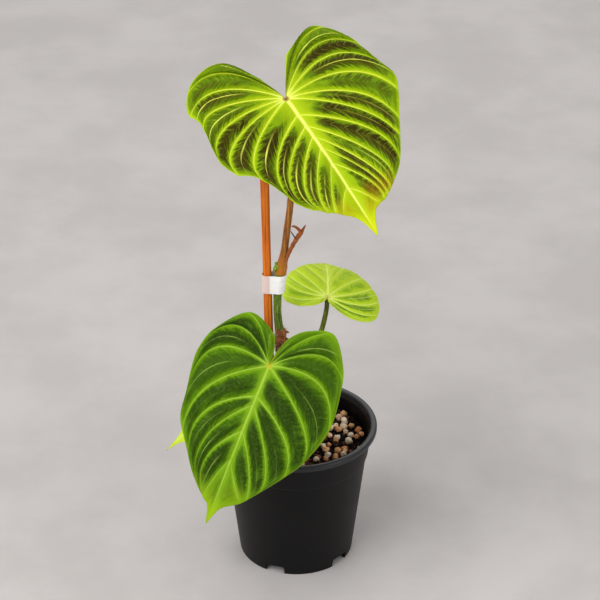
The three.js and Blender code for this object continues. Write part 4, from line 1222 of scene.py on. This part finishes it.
def leaf_material(name, colours, patch, sheen, glow):
    """Upper face: pale veins over green, with feathered dark panels between the side veins."""
    shader = LeafShader(name, Roughness=0.6, Specular_IOR_Level=0.06,
                        Sheen_Weight=sheen, Sheen_Roughness=0.35, Sheen_Tint=glow)
    place, reach, span, axis, ahead = shader.place, shader.reach, shader.span, shader.axis, shader.ahead
    mid, seat, from_vein = shader.mid, shader.seat, shader.from_vein
    vein_mm, middle_mm, edge_mm = shader.vein_mm, shader.middle_mm, shader.edge_mm
    root_mm = reach * shader.length
    cloud = shader.noise(75, 3, 0.5)
    drift = shader.noise(28, 2, 0.5)
    fine = shader.noise(480, 4, 0.65)
    velvet = shader.noise(2600, 3, 0.7)
    broad = shader.streaks(3.4, 2.6, 3.0)
    thin = shader.streaks(9.0, 3.0, 2.0)

    # Feathered branches slant from each vein toward the margin, uneven in width and spacing
    number = shader.math("FLOOR", place)
    panel = shader.node("ShaderNodeTexWhiteNoise", [("W", number)], "Value", noise_dimensions="1D")
    walk = root_mm + middle_mm * -1.1 + cloud.centred(6)
    slant = shader.vector(walk * 0.42, place * 1.3, number)
    branch = shader.noise(1.0, 3, 0.6, vector=slant).fade(0.34, 0.66)
    twig = shader.math("PINGPONG", walk + fine.centred(2.5), 3.4).fade(0.55, 0.1)
    twig = twig * from_vein.fade(0.02, 0.1) * broad.fade(0.4, 0.6) * patch["twig"]

    # Dark panels between the side veins, kept clear of the seat, the midrib and the margin
    core = from_vein + branch.centred(patch["feather"]) + fine.centred(0.2) + broad.centred(patch["streaky"])
    zone = (seat + (broad.centred(14) + cloud.centred(12))).fade(*patch["seat"])
    zone = zone * (mid + broad.centred(7)).fade(*patch["rib"])
    zone = zone * (edge_mm + cloud.centred(9)).fade(*patch["edge"])
    weight = broad.centred(1.5) + patch["weight"] + cloud.centred(1.3) + drift.centred(0.9)
    weight = shader.math("ADD", weight, branch.centred(patch["mottle"]), clamp=True)
    dark = core.fade(*patch["core"]) * zone * weight * shader.attribute("tint")

    # Ground colour under the panels
    beside = (vein_mm + fine.centred(1.6)).fade(0.1, patch["halo"])
    near_rib = (mid + cloud.centred(6)).fade(patch["glow"], 1)
    lobe = axis.fade(0.05, -0.25) * broad.fade(0.3, 0.6) * patch["lobe"]

    # Side veins, the lines between them, and the broad midrib
    line = shader.math("MULTIPLY", vein_mm.fade(0.65, 0.2), 1.1 - reach * 0.5, clamp=True)
    minor = abs(middle_mm + thin.centred(2.4)).fade(0.7, 0.1)
    minor = minor * reach.fade(0.2, 0.5) * span.fade(5, 9) * panel.fade(0.1, 0.8) * patch["minor"]
    rib_width = axis * (-0.55 * patch["rib_mm"]) + patch["rib_mm"]

    # Seat, notch edges, margin, a flush before the tip, and a painted sheen of pale velvet on the raised
    # panels
    notch = shader.attribute("notch") * seat.fade(20, 5) * patch["notch"]
    rim = (edge_mm + cloud.centred(3.0)).fade(patch["rim"], 0.6)
    flush = axis.fade(0.66, 0.78) * axis.fade(0.95, 0.84) * cloud.fade(0.42, 0.6) * mid.fade(1.5, 5)
    # Painted sheen: a pale velvet colour laid on the panels away from the veins
    painted_velvet_sheen = fine.fade(0.42, 0.7) * from_vein.fade(0.1, 0.4) * patch["painted_velvet_sheen"]

    # Paint, from the lowest layer up
    tone = shader.mix(beside, colours["light"], colours["green"])
    for share, paint in (
        (near_rib * 0.75, "light"),
        (drift.fade(0.42, 0.7) * 0.7, "second"),
        (lobe, "deep"),
        (dark.fade(0.05, 0.35), "deep"),
        (dark.fade(0.28, 0.6), "olive"),
        (dark.fade(0.55, 0.95), "dark"),
        (vein_mm.fade(2.4, 0.2) * patch["bloom"], "light"),
        (shader.math("MAXIMUM", minor, twig), "vein"),
        (line * patch["line"], "vein"),
        (mid.fade(4.2, 0.5) * ahead * 0.5, "light"),
        ((mid / rib_width).fade(1.0, 0.35) * ahead, "rib"),
        (seat.fade(12, 2) * vein_mm.fade(1.5, 0.3) * 0.8, "rib"),
        (notch, "seat"),
        (seat.fade(3.2, 1.2) * 0.8, "seat"),
        (rim * 0.75, "margin"),
        (axis.fade(0.78, 0.95) * 0.85, "tip"),
        (flush * patch["flush"], "flush"),
        (painted_velvet_sheen, "painted_velvet_sheen"),
    ):
        tone = tone.mix(share, colours[paint])

    # Swollen panels, velvet grain and sunken lines
    swell = shader.math("SINE", from_vein * math.pi) * root_mm.fade(0, 14) * edge_mm.fade(0, 8)
    swell = swell * span.fade(2, 14) * patch["swell"]
    normal = shader.bump(swell + cloud * 1.4, 0.001)
    grain = velvet * 0.45 + branch * 0.35 - minor
    normal = shader.bump(grain, 0.00025, 0.9, after=normal)
    return shader.finish(Base_Color=tone, Roughness=velvet * 0.25 + 0.48, Normal=normal)


def underside_material(name, flesh, deep, vein):
    """Lower face: red-brown between raised green veins."""
    shader = LeafShader(name, Roughness=0.5, Specular_IOR_Level=0.25, Sheen_Weight=0.1)
    fine = shader.noise(500, 4, 0.65)
    web = shader.cells(330, "DISTANCE_TO_EDGE").fade(0.1, 0.02)
    tone = shader.mix(shader.noise(45, 3).fade(0.3, 0.7), flesh, deep).mix(fine * 0.25, flesh)
    for share in (
        web * 0.3,
        shader.middle_mm.fade(0.5, 0.15) * 0.45,
        shader.vein_mm.fade(2.4, 0.6) * 0.4,
        shader.vein_mm.fade(0.85, 0.4),
        shader.mid.fade(1.9, 1.0) * shader.ahead,
        shader.edge_mm.fade(1.6, 0.3) * 0.8,
    ):
        tone = tone.mix(share, vein)
    return shader.finish(Base_Color=tone, Normal=shader.bump(fine - web * 0.6, 0.0002, 0.8))


def make_leaves():
    # Each leaf's pale velvet colour and its weight make a painted sheen on the raised panels
    top = leaf_material(
        "leaf_top_upper",
        dict(light=(178, 202, 16), green=(118, 150, 4), second=(138, 172, 8),
             deep=(84, 114, 4), olive=(76, 84, 3), dark=(50, 42, 4),
             vein=(222, 230, 88), rib=(230, 238, 112), seat=(126, 74, 40),
             margin=(168, 200, 12), tip=(206, 214, 14), flush=(186, 140, 12),
             painted_velvet_sheen=(150, 160, 60)),
        dict(core=(0.06, 0.36), feather=0.16, streaky=0.24, weight=0.92, mottle=0.55, twig=0.14,
             seat=(16, 36), rib=(3, 14), edge=(3, 14), halo=3.4, glow=15, bloom=0.35, minor=0.85,
             line=0.9, rim=4, rib_mm=1.9, notch=0.9, lobe=0.6, flush=0.32, painted_velvet_sheen=0.06, swell=1.8),
        0.0, (0.8, 0.95, 0.5, 1),
    )
    lower = leaf_material(
        "leaf_lower_upper",
        dict(light=(124, 166, 24), green=(90, 132, 10), second=(106, 148, 14),
             deep=(72, 110, 8), olive=(54, 86, 4), dark=(36, 60, 2),
             vein=(156, 190, 72), rib=(156, 188, 60), seat=(182, 180, 40),
             margin=(122, 164, 18), tip=(150, 184, 20), flush=(140, 150, 20),
             painted_velvet_sheen=(128, 152, 70)),
        dict(core=(0.0, 0.36), feather=0.07, streaky=0.3, weight=1.02, mottle=0.3, twig=0.05,
             seat=(2, 14), rib=(0.5, 8), edge=(2, 18), halo=4, glow=5, bloom=0.2, minor=0.5,
             line=0.8, rim=6.5, rib_mm=1.3, notch=0.2, lobe=0.2, flush=0.2, painted_velvet_sheen=0.12, swell=1.8),
        0.02, (0.75, 0.95, 0.5, 1),
    )
    young = leaf_material(
        "leaf_small_upper",
        dict(light=(194, 218, 66), green=(180, 206, 40), second=(172, 202, 36),
             deep=(150, 186, 26), olive=(124, 162, 18), dark=(92, 128, 12),
             vein=(216, 234, 116), rib=(222, 236, 116), seat=(196, 196, 80),
             margin=(186, 214, 50), tip=(188, 202, 32), flush=(184, 190, 40),
             painted_velvet_sheen=(206, 222, 124)),
        dict(core=(0.1, 0.45), feather=0.1, streaky=0.3, weight=0.95, mottle=0.5, twig=0.1,
             seat=(4, 16), rib=(1, 6), edge=(2, 10), halo=2.4, glow=6, bloom=0.3, minor=0.4,
             line=0.85, rim=1.6, rib_mm=1.2, notch=0.1, lobe=0.3, flush=0.1, painted_velvet_sheen=0.1, swell=0.8),
        0.02, (0.9, 1, 0.6, 1),
    )
    maroon = underside_material("leaf_red_under", (126, 46, 40), (88, 26, 30), (128, 150, 60))
    blush = underside_material("leaf_young_under", (146, 112, 56), (126, 84, 50), (158, 184, 74))
    make_blade("top", top, maroon, "leaf")
    make_blade("lower", lower, maroon, "dark_leaf")
    make_blade("small", young, blush, "young_leaf")
    make_blade("rear", young, blush, "young_leaf")


make_stage()
make_pot()
make_soil()
make_stake()
make_stem()
make_tape()
make_stalks()
make_bract()
make_leaves()
